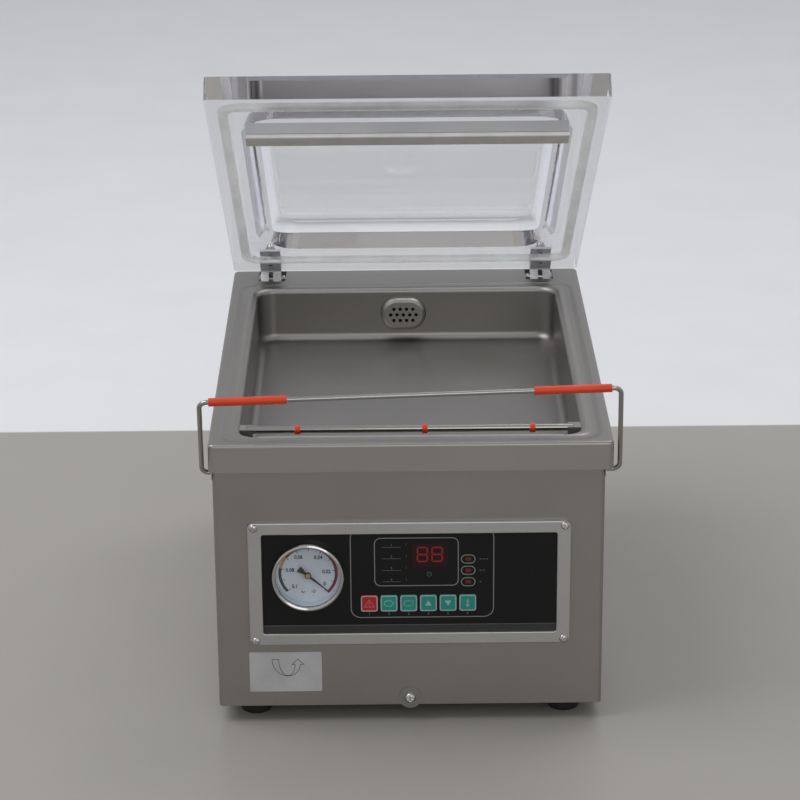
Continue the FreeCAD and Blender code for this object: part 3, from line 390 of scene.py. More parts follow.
for node in nodes.values():
    for holder in node.material_slots:
        holder.material = finishes[holder.material.name]
ownFinish = {  # pieces whose finish differs from their slot's
    "deck_chamber": deckSteel(),
    "bail_wire": brushedMetal("bail_wire_steel", (0.36, 0.35, 0.335), 0.12, 500.0, (1, 1, 1)),
    "clip_rod": brushedMetal("clip_rod_steel", (0.36, 0.35, 0.335), 0.12, 500.0, (1, 1, 1)),
    "lock_washer": brushedMetal("washer_steel", (0.33, 0.32, 0.31), 0.36, 900.0, (1, 1, 1)),
    # painted shade: the brass is darkened nearly black, so the holes it shows through look shaded
    "valve_block": brushedMetal("shade_darkened_brass", (0.05, 0.04, 0.028), 0.6, 300.0, (1, 1, 1)),
    "counter_channel": brushedMetal("counter_aluminium", (0.40, 0.40, 0.395), 0.4, 300.0, (0.2, 12, 12)),
    "counter_rubber": mouldedPlastic("counter_silicone", (0.62, 0.61, 0.59), 0.5, 600.0, 0.0001,
                                     Subsurface_Weight=0.15, Subsurface_Scale=0.002),
}
for name, look in ownFinish.items():
    nodes[name].material_slots[0].material = look
print("finishes made:", len(finishes) + len(prints))


def addPlate(bm, outline, low, high):
    lower = [bm.verts.new((x, y, low)) for x, y in outline]
    upper = [bm.verts.new((x, y, high)) for x, y in outline]
    bm.faces.new(lower[::-1])
    bm.faces.new(upper)
    for i in range(len(outline)):
        j = (i + 1) % len(outline)
        bm.faces.new((lower[i], lower[j], upper[j], upper[i]))


mitreLimit = 0.35  # keeps sharp turns from running out into spikes


def addStroke(bm, points, width, low, high, closed=False):  # a ribbon of even width, mitred at each turn
    count = len(points)
    sides = []
    for i, point in enumerate(points):
        here = Vector(point)
        before = Vector(points[(i - 1) % count]) if closed or i else None
        after = Vector(points[(i + 1) % count]) if closed or i < count - 1 else None
        into = (here - before).normalized() if before is not None else None
        out = (after - here).normalized() if after is not None else None
        along = ((into or out) + (out or into)).normalized()
        across = Vector((-along.y, along.x))
        reach = width / 2 / max(mitreLimit, abs(along.dot(out or into)))
        sides.append((here + across * reach, here - across * reach))
    rings = [[bm.verts.new((side.x, side.y, z)) for side, z in
              ((left, low), (right, low), (right, high), (left, high))] for left, right in sides]
    for i in range(count if closed else count - 1):
        a, b = rings[i], rings[(i + 1) % count]
        for k in range(4):
            n = (k + 1) % 4
            bm.faces.new((a[k], b[k], b[n], a[n]))
    if not closed:
        bm.faces.new(rings[0])
        bm.faces.new(rings[-1][::-1])


def addLathe(bm, profile, steps=40):  # (radius, height) runs back to its start, or from axis to axis
    rings = []
    for radius, height in profile:
        if radius < 1e-6:
            rings.append([bm.verts.new((0, 0, height))])
        else:
            rings.append([bm.verts.new((radius * math.cos(turn), radius * math.sin(turn), height))
                          for turn in (2 * math.pi * k / steps for k in range(steps))])
    for lower, upper in zip(rings, rings[1:]):
        for k in range(steps):
            n = (k + 1) % steps
            around = [lower[k % len(lower)], lower[n % len(lower)],
                      upper[n % len(upper)], upper[k % len(upper)]]
            corners = list(dict.fromkeys(around))  # a point on the axis counts once
            if len(corners) > 2:
                bm.faces.new(corners)


numeral = {"capShare": 0.7, "weight": 0.04, "resolution": 3}  # weight: a share of the height


def addNumber(bm, text, height, x, y, low, high, squeeze=1.0):
    curve = bpy.data.curves.new("number", "FONT")
    curve.body = text
    curve.size = height / numeral["capShare"]
    curve.align_x = "CENTER"
    curve.align_y = "CENTER"
    curve.extrude = (high - low) / 2
    curve.resolution_u = numeral["resolution"]
    curve.offset = numeral["weight"] * height
    holder = bpy.data.objects.new("number", curve)
    bpy.context.scene.collection.objects.link(holder)
    graph = bpy.context.evaluated_depsgraph_get()
    mesh = bpy.data.meshes.new_from_object(holder.evaluated_get(graph), depsgraph=graph)
    mesh.transform(Matrix.Translation((x, y, (low + high) / 2)) @ Matrix.Diagonal((squeeze, 1, 1, 1)))
    bm.from_mesh(mesh)
    bpy.data.objects.remove(holder)
    bpy.data.curves.remove(curve)
    bpy.data.meshes.remove(mesh)


def arcLine(cx, cy, radius, start, end, steps):
    turns = [math.radians(start + (end - start) * k / steps) for k in range(steps + 1)]
    return [(cx + radius * math.cos(turn), cy + radius * math.sin(turn)) for turn in turns]


def circleLine(cx, cy, radius, count):
    return arcLine(cx, cy, radius, 0, 360 * (count - 1) / count, count - 1)


def roundedBox(left, right, bottom, top, radius, steps=6):
    corners = ((right - radius, top - radius), (left + radius, top - radius),
               (left + radius, bottom + radius), (right - radius, bottom + radius))
    return [point for quarter, (cx, cy) in enumerate(corners)
            for point in arcLine(cx, cy, radius, 90 * quarter, 90 * quarter + 90, steps)]


toMetres = Matrix.Scale(mm, 4)
faceOperator = Matrix.Rotation(math.pi / 2, 4, "X")
panelPlane = Matrix.Translation((0, plateFace, deckHigh.z)) @ faceOperator @ toMetres
weldGap = 0.0005  # mm
sharpAngle = 35  # degrees: steeper edges stay crisp


def finishPiece(name, mesh, body, finish, replaces=()):  # links, shades and hangs a mesh on its body
    piece = bpy.data.objects.new(name, mesh)
    bpy.context.scene.collection.objects.link(piece)
    if finish is not None:
        mesh.materials.clear()
        mesh.materials.append(finish)
    mesh.shade_smooth()
    mesh.set_sharp_from_angle(angle=math.radians(sharpAngle))
    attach(piece, body)
    if replaces:
        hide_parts(*replaces)


def pieceFrom(name, bm, body, finish, place):
    bmesh.ops.remove_doubles(bm, verts=bm.verts, dist=weldGap)
    bmesh.ops.recalc_face_normals(bm, faces=bm.faces)
    mesh = bpy.data.meshes.new(name)
    bm.to_mesh(mesh)
    bm.free()
    mesh.transform(place)
    finishPiece(name, mesh, body, finish)


def newTree(name, *inputs):
    tree = bpy.data.node_groups.new(name, "GeometryNodeTree")
    tree.interface.new_socket("Geometry", in_out="INPUT", socket_type="NodeSocketGeometry")
    for label, kind in inputs:
        tree.interface.new_socket(label, in_out="INPUT", socket_type="NodeSocket" + kind)
    tree.interface.new_socket("Geometry", in_out="OUTPUT", socket_type="NodeSocketGeometry")
    return tree, tree.nodes.new("NodeGroupInput").outputs


def putOnPoints(tree, points, shape, turned=(0, 0, 0)):
    return put(tree, "GeometryNodeInstanceOnPoints", {"Points": points, "Instance": shape.outputs[0],
                                                      "Rotation": turned}).outputs[0]


def putBox(tree, width, height):
    box = put(tree, "GeometryNodeCurvePrimitiveQuadrilateral", {"Width": width, "Height": height})
    return box.outputs[0]


def closeTree(tree, geometry, finish):
    real = put(tree, "GeometryNodeRealizeInstances", {0: geometry})
    done = put(tree, "GeometryNodeSetMaterial", {"Geometry": real.outputs[0], "Material": finish})
    out = tree.nodes.new("NodeGroupOutput")
    tree.links.new(done.outputs[0], out.inputs[0])
    return tree


def grow(name, tree, spots, values, place=toMetres):  # the plain mesh that a tree makes on a few points
    seed = bpy.data.meshes.new(name + "_spots")
    seed.from_pydata(spots, [], [])
    holder = bpy.data.objects.new(name + "_spots", seed)
    bpy.context.scene.collection.objects.link(holder)
    modifier = holder.modifiers.new("grow", "NODES")
    modifier.node_group = tree
    for item in tree.interface.items_tree:
        if item.in_out == "INPUT" and item.name in values:
            modifier[item.identifier] = values[item.name]
    graph = bpy.context.evaluated_depsgraph_get()
    mesh = bpy.data.meshes.new_from_object(holder.evaluated_get(graph), depsgraph=graph)
    mesh.name = name
    holder.modifiers.clear()
    bpy.data.objects.remove(holder)
    mesh.transform(place)
    return mesh


# cut and shank are shares of the head's radius
headShape = {"segments": 40, "rings": 20, "cut": 1.15, "shank": 0.5, "sides": 20}


def screwTree():  # domed cross-recess screw heads, one at each point, facing +Z
    tree, given = newTree("screw_heads", ("Radius", "Float"), ("Height", "Float"), ("Slot", "Float"),
                          ("Shank", "Float"), ("Turn", "Float"), ("Finish", "Material"))
    ball = put(tree, "GeometryNodeMeshUVSphere", {"Segments": headShape["segments"],
                                                  "Rings": headShape["rings"], "Radius": 1.0})
    size = put(tree, "ShaderNodeCombineXYZ", {0: given["Radius"], 1: given["Radius"], 2: given["Height"]})
    dome = put(tree, "GeometryNodeTransform", {"Geometry": ball.outputs["Mesh"], "Scale": size.outputs[0]})
    wide = put(tree, "ShaderNodeMath", {0: given["Radius"], 1: headShape["cut"]}, operation="MULTIPLY")
    both = put(tree, "GeometryNodeMeshBoolean", operation="UNION", solver="EXACT")
    for length, width in ((wide.outputs[0], given["Slot"]), (given["Slot"], wide.outputs[0])):
        bar = put(tree, "ShaderNodeCombineXYZ", {0: length, 1: width, 2: given["Height"]})
        cutter = put(tree, "GeometryNodeMeshCube", {"Size": bar.outputs[0]})
        tree.links.new(cutter.outputs["Mesh"], both.inputs["Mesh 2"])
    lift = put(tree, "ShaderNodeCombineXYZ", {2: given["Height"]})
    raised = put(tree, "GeometryNodeTransform", {"Geometry": both.outputs[0],
                                                 "Translation": lift.outputs[0]})
    head = put(tree, "GeometryNodeMeshBoolean", {"Mesh 1": dome.outputs[0]}, operation="DIFFERENCE",
               solver="EXACT")
    tree.links.new(raised.outputs[0], head.inputs["Mesh 2"])
    thin = put(tree, "ShaderNodeMath", {0: given["Radius"], 1: headShape["shank"]}, operation="MULTIPLY")
    shank = put(tree, "GeometryNodeMeshCylinder", {"Vertices": headShape["sides"], "Radius": thin.outputs[0],
                                                   "Depth": given["Shank"]})
    down = put(tree, "ShaderNodeMath", {0: given["Shank"], 1: -0.5}, operation="MULTIPLY")
    drop = put(tree, "ShaderNodeCombineXYZ", {2: down.outputs[0]})
    stem = put(tree, "GeometryNodeTransform", {"Geometry": shank.outputs["Mesh"],
                                               "Translation": drop.outputs[0]})
    whole = put(tree, "GeometryNodeJoinGeometry")
    tree.links.new(head.outputs[0], whole.inputs[0])
    tree.links.new(stem.outputs[0], whole.inputs[0])
    number = put(tree, "GeometryNodeInputIndex")
    spin = put(tree, "ShaderNodeMath", {0: number.outputs[0], 1: given["Turn"]}, operation="MULTIPLY")
    twist = put(tree, "ShaderNodeCombineXYZ", {2: spin.outputs[0]})
    placed = putOnPoints(tree, given["Geometry"], whole, twist.outputs[0])
    return closeTree(tree, placed, given["Finish"])


cornerSteps = 6


def outlineTree():  # raised rounded outlines in plan, one round each point
    tree, given = newTree("outlines", ("Width", "Float"), ("Height", "Float"), ("Corner", "Float"),
                          ("Line", "Float"), ("Relief", "Float"), ("Finish", "Material"))
    path = putBox(tree, given["Width"], given["Height"])
    eased = put(tree, "GeometryNodeFilletCurve", {"Curve": path, "Radius": given["Corner"],
                                                  "Count": cornerSteps}, mode="POLY")
    upright = put(tree, "GeometryNodeSetCurveNormal", {"Curve": eased.outputs[0]}, mode="Z_UP")
    section = putBox(tree, given["Line"], given["Relief"])
    band = put(tree, "GeometryNodeCurveToMesh", {"Curve": upright.outputs[0], "Profile Curve": section})
    return closeTree(tree, putOnPoints(tree, given["Geometry"], band), given["Finish"])


def tickTree():  # graduation marks along an arc, the first at Start
    tree, given = newTree("dial_ticks", ("Count", "Int"), ("Start", "Float"), ("Step", "Float"),
                          ("Radius", "Float"), ("Length", "Float"), ("Width", "Float"),
                          ("Relief", "Float"), ("Finish", "Material"))
    row = put(tree, "GeometryNodeMeshLine", {"Count": given["Count"]})
    number = put(tree, "GeometryNodeInputIndex")
    swept = put(tree, "ShaderNodeMath", {0: number.outputs[0], 1: given["Step"], 2: given["Start"]},
                operation="MULTIPLY_ADD")
    across = put(tree, "ShaderNodeMath", {0: swept.outputs[0]}, operation="COSINE")
    up = put(tree, "ShaderNodeMath", {0: swept.outputs[0]}, operation="SINE")
    spoke = put(tree, "ShaderNodeCombineXYZ", {0: across.outputs[0], 1: up.outputs[0]})
    spot = put(tree, "ShaderNodeVectorMath", {0: spoke.outputs[0], "Scale": given["Radius"]},
               operation="SCALE")
    ring = put(tree, "GeometryNodeSetPosition", {"Geometry": row.outputs[0], "Position": spot.outputs[0]})
    size = put(tree, "ShaderNodeCombineXYZ", {0: given["Length"], 1: given["Width"], 2: given["Relief"]})
    bar = put(tree, "GeometryNodeMeshCube", {"Size": size.outputs[0]})
    twist = put(tree, "ShaderNodeCombineXYZ", {2: swept.outputs[0]})
    return closeTree(tree, putOnPoints(tree, ring.outputs[0], bar, twist.outputs[0]), given["Finish"])


alongX = (0, math.pi / 2, 0)
spring = {"wire": 1.3, "radius": 3.05, "turns": 3, "steps": 28, "sides": 10}


def coilTree():  # close-wound coils lying along X, one at each point
    tree, given = newTree("coil_springs", ("Radius", "Float"), ("Wire", "Float"), ("Turns", "Float"),
                          ("Length", "Float"), ("Finish", "Material"))
    path = put(tree, "GeometryNodeCurveSpiral", {"Resolution": spring["steps"], "Rotations": given["Turns"],
                                                 "Start Radius": given["Radius"],
                                                 "End Radius": given["Radius"], "Height": given["Length"]})
    half = put(tree, "ShaderNodeMath", {0: given["Wire"], 1: 0.5}, operation="MULTIPLY")
    section = put(tree, "GeometryNodeCurvePrimitiveCircle", {"Resolution": spring["sides"],
                                                              "Radius": half.outputs[0]})
    wire = put(tree, "GeometryNodeCurveToMesh", {"Curve": path.outputs[0], "Fill Caps": True,
                                                 "Profile Curve": section.outputs[0]})
    return closeTree(tree, putOnPoints(tree, given["Geometry"], wire, alongX), given["Finish"])


rings = {"at": (-93, 12, 101), "inner": 3.0, "outer": 4.0, "length": 4.5, "edge": 0.45, "steps": 40,
         "edgeSteps": 4}


def collarTree():  # soft-edged rings lying along X, one at each point
    tree, given = newTree("rod_collars", ("Inner", "Float"), ("Outer", "Float"), ("Length", "Float"),
                          ("Edge", "Float"), ("Finish", "Material"))
    wall = put(tree, "ShaderNodeMath", {0: given["Outer"], 1: given["Inner"]}, operation="SUBTRACT")
    reach = put(tree, "ShaderNodeMath", {0: given["Outer"], 1: given["Inner"]}, operation="ADD")
    mean = put(tree, "ShaderNodeMath", {0: reach.outputs[0], 1: 0.5}, operation="MULTIPLY")
    path = put(tree, "GeometryNodeCurvePrimitiveCircle", {"Resolution": rings["steps"],
                                                          "Radius": mean.outputs[0]})
    upright = put(tree, "GeometryNodeSetCurveNormal", {"Curve": path.outputs[0]}, mode="Z_UP")
    section = putBox(tree, wall.outputs[0], given["Length"])
    eased = put(tree, "GeometryNodeFilletCurve", {"Curve": section, "Radius": given["Edge"],
                                                  "Count": rings["edgeSteps"]}, mode="POLY")
    ring = put(tree, "GeometryNodeCurveToMesh", {"Curve": upright.outputs[0],
                                                 "Profile Curve": eased.outputs[0]})
    return closeTree(tree, putOnPoints(tree, given["Geometry"], ring, alongX), given["Finish"])


def makeSprings():
    axis = hingeAxis / mm
    low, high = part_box("lid_springs")
    wire = spring["wire"]
    run = (spring["turns"] - 1) * wire
    spots = [(low.x / mm + wire / 2, axis.y, axis.z), (high.x / mm - wire / 2 - run, axis.y, axis.z)]
    coils = grow("hinge_springs", coilTree(), spots,
                 {"Radius": spring["radius"], "Wire": wire, "Turns": float(spring["turns"] - 1),
                  "Length": run, "Finish": finishes["bright_steel"]})
    finishPiece("hinge_springs", coils, "housing", None, replaces=["lid_springs"])


def makeRings():
    centre = middle("clip_rod") / mm
    collars = grow("rod_rings", collarTree(), [(x, centre.y, centre.z) for x in rings["at"]],
                   {"Inner": rings["inner"], "Outer": rings["outer"], "Length": rings["length"],
                    "Edge": rings["edge"], "Finish": finishes["orange_silicone"]})
    finishPiece("rod_rings", collars, "clip_rod", None, replaces=["clip_rings"])


bezelScrew = {"radius": 3.6, "height": 2.3, "slot": 1.0, "shank": 8.5, "turn": 0.55}
frontScrew = {"radius": 4.75, "height": 3.6, "slot": 1.9, "shank": 8.5, "turn": 0.4}
dialScrew = {"radius": 1.8, "height": 1.0, "slot": 0.5, "shank": 0.6, "turn": 0.9,
             "at": ((-4.4, -15.9), (4.4, -15.9))}


def screwsFrom(tree, name, size, spots, place, replaces=()):
    values = {key.capitalize(): size[key] for key in ("radius", "height", "slot", "shank", "turn")}
    values["Finish"] = finishes["bright_steel"]
    mesh = grow(name, tree, spots, values, place)
    finishPiece(name, mesh, "housing", None, replaces)


def facing(x, y, z):
    return Matrix.Translation((x, y, z)) @ faceOperator @ toMetres


def makeScrews():
    tree = screwTree()
    low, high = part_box("bezel_screws")
    reach = bezelScrew["radius"]
    corners = [(x, z, 0) for x in (low.x / mm + reach, high.x / mm - reach)
               for z in (low.z / mm + reach, high.z / mm - reach)]
    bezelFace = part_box("panel_bezel")[0].y
    screwsFrom(tree, "bezel_cross_screws", bezelScrew, corners, facing(0, bezelFace, 0),
               replaces=["bezel_screws"])
    centre = middle("lock_screw")
    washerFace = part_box("lock_washer")[0].y
    screwsFrom(tree, "front_lock_screw", frontScrew, [(0, 0, 0)], facing(centre.x, washerFace, centre.z),
               replaces=["lock_screw"])
    screwsFrom(tree, "dial_screws", dialScrew, [(x, z, 0) for x, z in dialScrew["at"]], dialPlace)


dial = {
    "zero": -47.0, "step": 27.0, "ticks": 11, "tickFrom": 20.1, "tickLength": 2.1, "tickWidth": 0.5,
    "band": (22.1, 24.6), "bandStep": 3, "relief": 0.06,  # mm, and degrees for the angles
    "bands": (("gauge_band_red", "red", "key_red", -47.0, 141.5),
              ("gauge_band_orange", "orange", "orange_silicone", 141.5, 168.0),
              ("gauge_band_green", "green", "key_teal", 168.0, 223.0)),
    "numbers": (("0", 13.6, -9.6), ("0.02", 15.2, 1.4), ("0.04", 8.6, 14.2), ("0.06", -7.7, 14.7),
                ("0.08", -14.9, 3.0), ("0.1", -11.1, -11.8)),
    "numberHeight": 3.3, "squeeze": 0.86,
    "pan": 26.75, "panRise": 7.0, "panWall": 0.5, "panLip": 0.2, "panCrest": 0.6, "panSteps": 96,
    "hub": 2.0,
    "hubShape": ((0, -1), (1, -1), (1, 0.25), (0.85, 0.5), (0.5, 0.55), (0.42, 0.3), (0, 0.25)),
}
dialPlace = facing(middle("gauge_dial").x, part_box("gauge_dial")[0].y, middle("gauge_dial").z)


def makeBands():
    inner, outer = dial["band"]
    for name, look, slot, start, end in dial["bands"]:
        steps = max(4, int((end - start) / dial["bandStep"]))
        bm = bmesh.new()
        outline = arcLine(0, 0, outer, start, end, steps) + arcLine(0, 0, inner, end, start, steps)
        rim = [bm.verts.new((x, y, z)) for z in (0, dial["relief"]) for x, y in outline]
        count = len(outline)
        for i in range(count):
            j = (i + 1) % count
            bm.faces.new((rim[i], rim[j], rim[count + j], rim[count + i]))
        for i in range(steps):  # the two flat sides, a quad for each step
            j = count - 1 - i
            bm.faces.new((rim[count + i], rim[count + i + 1], rim[count + j - 1], rim[count + j]))
            bm.faces.new((rim[j], rim[j - 1], rim[i + 1], rim[i]))
        pieceFrom(name, bm, "housing", prints[look], dialPlace)


def makeScale():
    values = {"Count": dial["ticks"], "Start": math.radians(dial["zero"]),
              "Step": math.radians(dial["step"]),
              "Radius": dial["tickFrom"] + dial["tickLength"] / 2, "Length": dial["tickLength"],
              "Width": dial["tickWidth"], "Relief": dial["relief"] * 2, "Finish": prints["ink"]}
    ticks = grow("gauge_ticks", tickTree(), [(0, 0, 0)], values, dialPlace)
    finishPiece("gauge_ticks", ticks, "housing", None)
    bm = bmesh.new()
    for text, x, y in dial["numbers"]:
        addNumber(bm, text, dial["numberHeight"], x, y, 0, dial["relief"], dial["squeeze"])
    pieceFrom("gauge_numbers", bm, "housing", prints["ink"], dialPlace)


def makePanWall():
    outer, rise, wall = dial["pan"], dial["panRise"], dial["panWall"]
    inner = outer - wall
    bm = bmesh.new()
    addLathe(bm, [(inner, 0), (outer, 0), (outer, rise),
                  (outer - wall * dial["panCrest"], rise + dial["panLip"]), (inner, rise), (inner, 0)],
             dial["panSteps"])
    pieceFrom("gauge_pan_wall", bm, "housing", finishes["dial_white"], dialPlace)


def makeHubCap():
    needleFace = (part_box("gauge_dial")[0].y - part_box("gauge_needle")[0].y) / mm
    bm = bmesh.new()
    addLathe(bm, [(dial["hub"] * share, needleFace + rise) for share, rise in dial["hubShape"]])
    pieceFrom("needle_hub_cap", bm, "needle", finishes["brass_block"], dialPlace)


panel = {
    "relief": 0.07, "line": 0.7,
    "frame": (-50.3, 67.7, -155.7, -76.0, 8.0), "display": (-30.5, 38.5, -127.1, -84.3, 5.0),
    "ovalColumn": 46.7, "ovalRows": (-103.6, -113.8, -124.1),
    "oval": (12.0, 8.0), "ovalFill": (2.6, 1.7, 1.6),
    "dashes": (3, 2, 1), "dashesAt": 56.0, "dashStep": 2.6, "dash": (1.7, 0.6),
    "lampColumn": -4.4, "lampRows": (-90.1, -100.3, -110.7, -121.3), "lampHalf": 1.1, "lampWidth": 0.8,
    "rules": (-24.5, -8.7), "ruleRows": (-92.5, -102.7, -113.3, -123.5), "ruleLine": 0.35, "ruleNumber": 1.9,
    "digits": ((4.9, 13.0), (16.9, 25.2)), "digitRows": (-105.4, -92.9), "segment": 1.35, "segmentGap": 0.25,
    "clock": (14.6, -116.8, 1.9), "clockLine": 0.35, "handLine": 0.32, "hands": (0.65, 0.5),
    "ledge": (-171.6, -162.6), "ledgeInset": 2, "ledgeLine": 0.6, "ledgeLift": 0.1,
    "numeralRow": -152.6, "numeral": 2.1,
}


def onPanel(name, draw, look):
    bm = bmesh.new()
    draw(bm, 0, panel["relief"])
    pieceFrom(name, bm, "housing", prints[look], panelPlane)


def drawFrames(bm, low, high):
    for key in ("frame", "display"):
        addStroke(bm, roundedBox(*panel[key]), panel["line"], low, high, closed=True)


def drawRules(bm, low, high):
    left, right = panel["rules"]
    size = panel["ruleNumber"]
    for count, row in enumerate(panel["ruleRows"], 1):
        addStroke(bm, [(left, row), (right, row)], panel["ruleLine"], low, high)
        addNumber(bm, str(count), size, (left + right) / 2, row + size, low, high)


def drawDashes(bm, low, high):
    length, width = panel["dash"]
    for count, row in zip(panel["dashes"], panel["ovalRows"]):
        for i in range(count):
            start = panel["dashesAt"] + panel["dashStep"] * i
            addStroke(bm, [(start, row), (start + length, row)], width, low, high)


def drawKeyNumbers(bm, low, high):
    for i, x in enumerate(keyPlaces, 1):
        addNumber(bm, str(i), panel["numeral"], x, panel["numeralRow"], low, high)


def drawClock(bm, low, high):
    x, y, reach = panel["clock"]
    up, across = (reach * share for share in panel["hands"])
    addStroke(bm, circleLine(x, y, reach, 36), panel["clockLine"], low, high, closed=True)
    addStroke(bm, [(x, y + up), (x, y), (x + across, y)], panel["handLine"], low, high)


def drawMarks(bm, low, high):
    for draw in (drawRules, drawDashes, drawKeyNumbers, drawClock):
        draw(bm, low, high)


def drawLamps(bm, low, high):
    x, half = panel["lampColumn"], panel["lampHalf"]
    for row in panel["lampRows"]:
        addStroke(bm, [(x, row - half), (x, row + half)], panel["lampWidth"], low, high)
    centre = panel["ovalColumn"]
    across, up, corner = panel["ovalFill"]
    for row in panel["ovalRows"]:
        addPlate(bm, roundedBox(centre - across, centre + across, row - up, row + up, corner), low, high)


def drawDigits(bm, low, high):
    bottom, top = panel["digitRows"]
    centre = (bottom + top) / 2
    for left, right in panel["digits"]:
        runs = [((left, y), (right, y)) for y in (bottom, centre, top)]
        runs += [((x, y), (x, end)) for x in (left, right) for y, end in ((bottom, centre), (centre, top))]
        for start, end in runs:
            addSegment(bm, start, end, low, high)


def addSegment(bm, start, end, low, high):  # one pointed bar of a digit
    a, b = Vector(start), Vector(end)
    along = (b - a).normalized()
    across = Vector((-along.y, along.x)) * panel["segment"] / 2
    point = along * panel["segment"] / 2
    a, b = a + along * panel["segmentGap"], b - along * panel["segmentGap"]
    outline = [a, a + point - across, b - point - across, b, b - point + across, a + point + across]
    addPlate(bm, outline, low, high)


def ledgeSides():
    left, right = (bound.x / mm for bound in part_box("panel_plate"))
    return left + panel["ledgeInset"], right - panel["ledgeInset"]


def drawLedge(bm, low, high):
    bottom, top = panel["ledge"]
    left, right = ledgeSides()
    addPlate(bm, [(left, bottom), (right, bottom), (right, top), (left, top)], low, high)


def drawLedgeEdge(bm, low, high):
    top = panel["ledge"][1]
    addStroke(bm, [(x, top) for x in ledgeSides()], panel["ledgeLine"], low, high + panel["ledgeLift"])


def makePanel():
    onPanel("panel_frames", drawFrames, "line")
    onPanel("panel_marks", drawMarks, "faint")
    onPanel("panel_lamps", drawLamps, "lamp")
    onPanel("display_digits", drawDigits, "digit")
    onPanel("panel_ledge", drawLedge, "ledge")
    onPanel("panel_ledge_edge", drawLedgeEdge, "ledgeEdge")
    width, height = (size - panel["line"] for size in panel["oval"])
    corner = height / 2 - 0.05  # a hair short of half, or the fillets would meet
    ovals = grow("panel_ovals", outlines,
                 [(panel["ovalColumn"], row, panel["relief"] / 2) for row in panel["ovalRows"]],
                 {"Width": width, "Height": height, "Corner": corner, "Line": panel["line"],
                  "Relief": panel["relief"], "Finish": prints["line"]}, panelPlane)
    finishPiece("panel_ovals", ovals, "housing", None)


keyStroke = {"thin": 0.45, "bar": 0.5, "bold": 0.6, "dot": 0.4, "dotCorner": 0.38}
bag = {"centre": -1.5, "half": 2.4}


def addDot(bm, x, y, low, high):
    half = keyStroke["dot"]
    outline = roundedBox(x - half, x + half, y - half, y + half, keyStroke["dotCorner"], 3)
    addPlate(bm, outline, low, high)


def bagBack():
    return arcLine(bag["centre"], 0, bag["half"], 90, 270, 14)


def drawWarning(bm, low, high):
    addStroke(bm, [(-4.1, -3.1), (4.1, -3.1), (0, 3.6)], keyStroke["thin"], low, high, closed=True)
    addStroke(bm, [(0, -0.6), (0, 1.6)], keyStroke["bold"], low, high)
    addDot(bm, 0, -1.7, low, high)


def drawBag(bm, low, high):
    half = bag["half"]
    mouth = [(1.6, -half), (4.0, 0), (1.6, half)]
    addStroke(bm, bagBack() + mouth, keyStroke["thin"], low, high, closed=True)


def drawOpenBag(bm, low, high):
    half = bag["half"]
    outline = [(2.2, 1.5), (1.0, half)] + bagBack() + [(1.0, -half), (2.2, -1.5)]
    addStroke(bm, outline, keyStroke["thin"], low, high)
    addStroke(bm, [(3.5, half), (3.5, -0.4)], keyStroke["bar"], low, high)
    addDot(bm, 3.5, -1.9, low, high)


def drawUp(bm, low, high):
    addPlate(bm, [(-2.7, -2.2), (2.7, -2.2), (0, 2.5)], low, high)


def drawDown(bm, low, high):
    addPlate(bm, [(-2.7, 2.2), (0, -2.5), (2.7, 2.2)], low, high)


def drawHeat(bm, low, high):
    addPlate(bm, roundedBox(-0.5, 0.5, -1.6, 3.2, 0.45, 4), low, high)
    addPlate(bm, circleLine(0, -2.0, 1.35, 24), low, high)


keyMarks = {
    "key_1": drawWarning, "key_2": drawBag, "key_3": drawOpenBag,
    "key_4": drawUp, "key_5": drawDown, "key_6": drawHeat,
}
keyLook = {"line": 0.95, "inset": 0.12, "corner": 1.7, "relief": 0.07}
keyPlaces = [middle(name).x / mm for name in keyMarks]


def makeKeyFaces():
    for name, draw in keyMarks.items():
        low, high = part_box(name)
        centre = (low + high) / 2
        place = facing(centre.x, low.y, centre.z)
        width, height = (high.x - low.x) / mm, (high.z - low.z) / mm
        spare = 2 * keyLook["inset"] + keyLook["line"]
        ring = grow(name + "_outline", outlines, [(0, 0, keyLook["relief"] / 2)],
                    {"Width": width - spare, "Height": height - spare, "Corner": keyLook["corner"],
                     "Line": keyLook["line"], "Relief": keyLook["relief"], "Finish": prints["ring"]}, place)
        finishPiece(name + "_outline", ring, name, None)
        bm = bmesh.new()
        draw(bm, 0, keyLook["relief"])
        look = "redMark" if name == "key_1" else "mark"
        pieceFrom(name + "_mark", bm, name, prints[look], place)


sticker = {
    "left": -136.0, "right": -75.6, "top": -187.5, "bottom": -223.8, "corner": 1.2, "thick": 0.25,
    "line": 0.42, "ink": 0.06,
}
arrow = {  # mm from the sticker's top left corner, rightwards and down
    "tail": (18.9, 24.4), "tailRow": 6.6, "stem": (38.1, 42.4), "headRow": 11.4,
    "outerDip": (32.0, 22.0), "innerDip": (32.1, 21.7), "head": ((45.5, 11.4), (40.5, 6.3), (35.4, 11.4)),
}


def curveBetween(start, dip, steps=14):  # a quarter curve from start down into the dip
    made = []
    for k in range(steps + 1):
        turn = math.pi / 2 * k / steps
        fromDown, toDip = 1 - math.sin(turn), 1 - math.cos(turn)
        made.append((start[0] + (dip[0] - start[0]) * toDip, dip[1] + (start[1] - dip[1]) * fromDown))
    return made


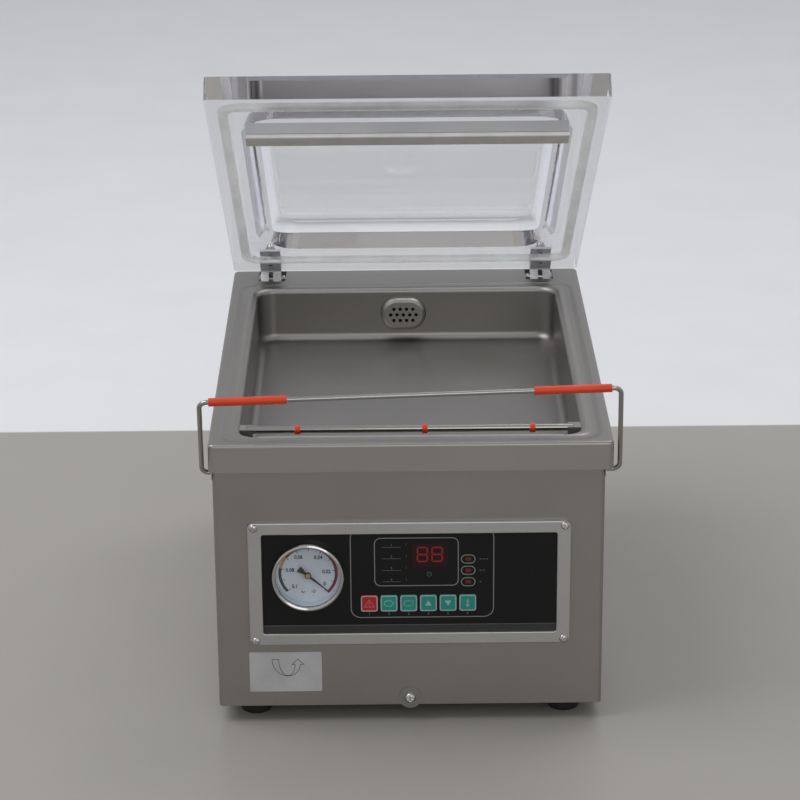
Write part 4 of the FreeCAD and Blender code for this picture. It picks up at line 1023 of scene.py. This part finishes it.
def arrowOutline():
    tailLeft, tailRight = ((x, arrow["tailRow"]) for x in arrow["tail"])
    stemLeft, stemRight = ((x, arrow["headRow"]) for x in arrow["stem"])
    outer, inner = arrow["outerDip"], arrow["innerDip"]
    below = curveBetween(tailLeft, outer) + curveBetween(stemRight, outer)[::-1]
    above = curveBetween(stemLeft, inner) + curveBetween(tailRight, inner)[::-1][1:]
    return [(sticker["left"] + x, sticker["top"] - y) for x, y in below + list(arrow["head"]) + above]


def makeSticker():
    face = Matrix.Translation((0, cabinetFace, deckHigh.z)) @ faceOperator @ toMetres
    thick = sticker["thick"]
    edges = (sticker[key] for key in ("left", "right", "bottom", "top", "corner"))
    bm = bmesh.new()
    addPlate(bm, roundedBox(*edges), 0, thick)
    pieceFrom("front_sticker", bm, "housing", prints["paper"], face)
    bm = bmesh.new()
    addStroke(bm, arrowOutline(), sticker["line"], thick, thick + sticker["ink"], closed=True)
    pieceFrom("sticker_arrow", bm, "housing", prints["ink"], face)


rocker = {"depth": 6.15, "rise": 5.0, "tilt": 8.53, "turned": -11.0, "line": 0.7, "size": 4.0, "ink": 0.08}


def drawOn(bm, low, high):
    half = rocker["size"] / 2
    addStroke(bm, [(0, -half), (0, half)], rocker["line"], low, high)


def drawOff(bm, low, high):
    addStroke(bm, circleLine(0, 0, rocker["size"] / 2, 24), rocker["line"], low, high, closed=True)


def makeRockerMarks():
    pivot = Vector(joints["rocker_turn"]["pos_m"])
    centre = Matrix.Translation((middle("switch_rocker").x, pivot.y, pivot.z))
    turned = Matrix.Rotation(math.radians(rocker["turned"]), 4, "X")
    for name, draw, side in (("rocker_on_mark", drawOn, 1), ("rocker_off_mark", drawOff, -1)):
        out = Matrix.Translation((0, rocker["depth"] * mm, side * rocker["rise"] * mm))
        lean = Matrix.Rotation(math.radians(-90 - side * rocker["tilt"]), 4, "X")
        place = centre @ turned @ out @ lean @ toMetres
        bm = bmesh.new()
        draw(bm, 0, rocker["ink"])
        pieceFrom(name, bm, "rocker", prints["chalk"], place)


outlines = outlineTree()
makeSprings()
makeRings()
makeScrews()
print("springs, rings and screws made")
makeBands()
makeScale()
makePanWall()
makeHubCap()
makePanel()
makeKeyFaces()
print("gauge, panel and keys drawn")
makeSticker()
makeRockerMarks()
print("sticker and switch marks made")

bpy.context.view_layer.update()
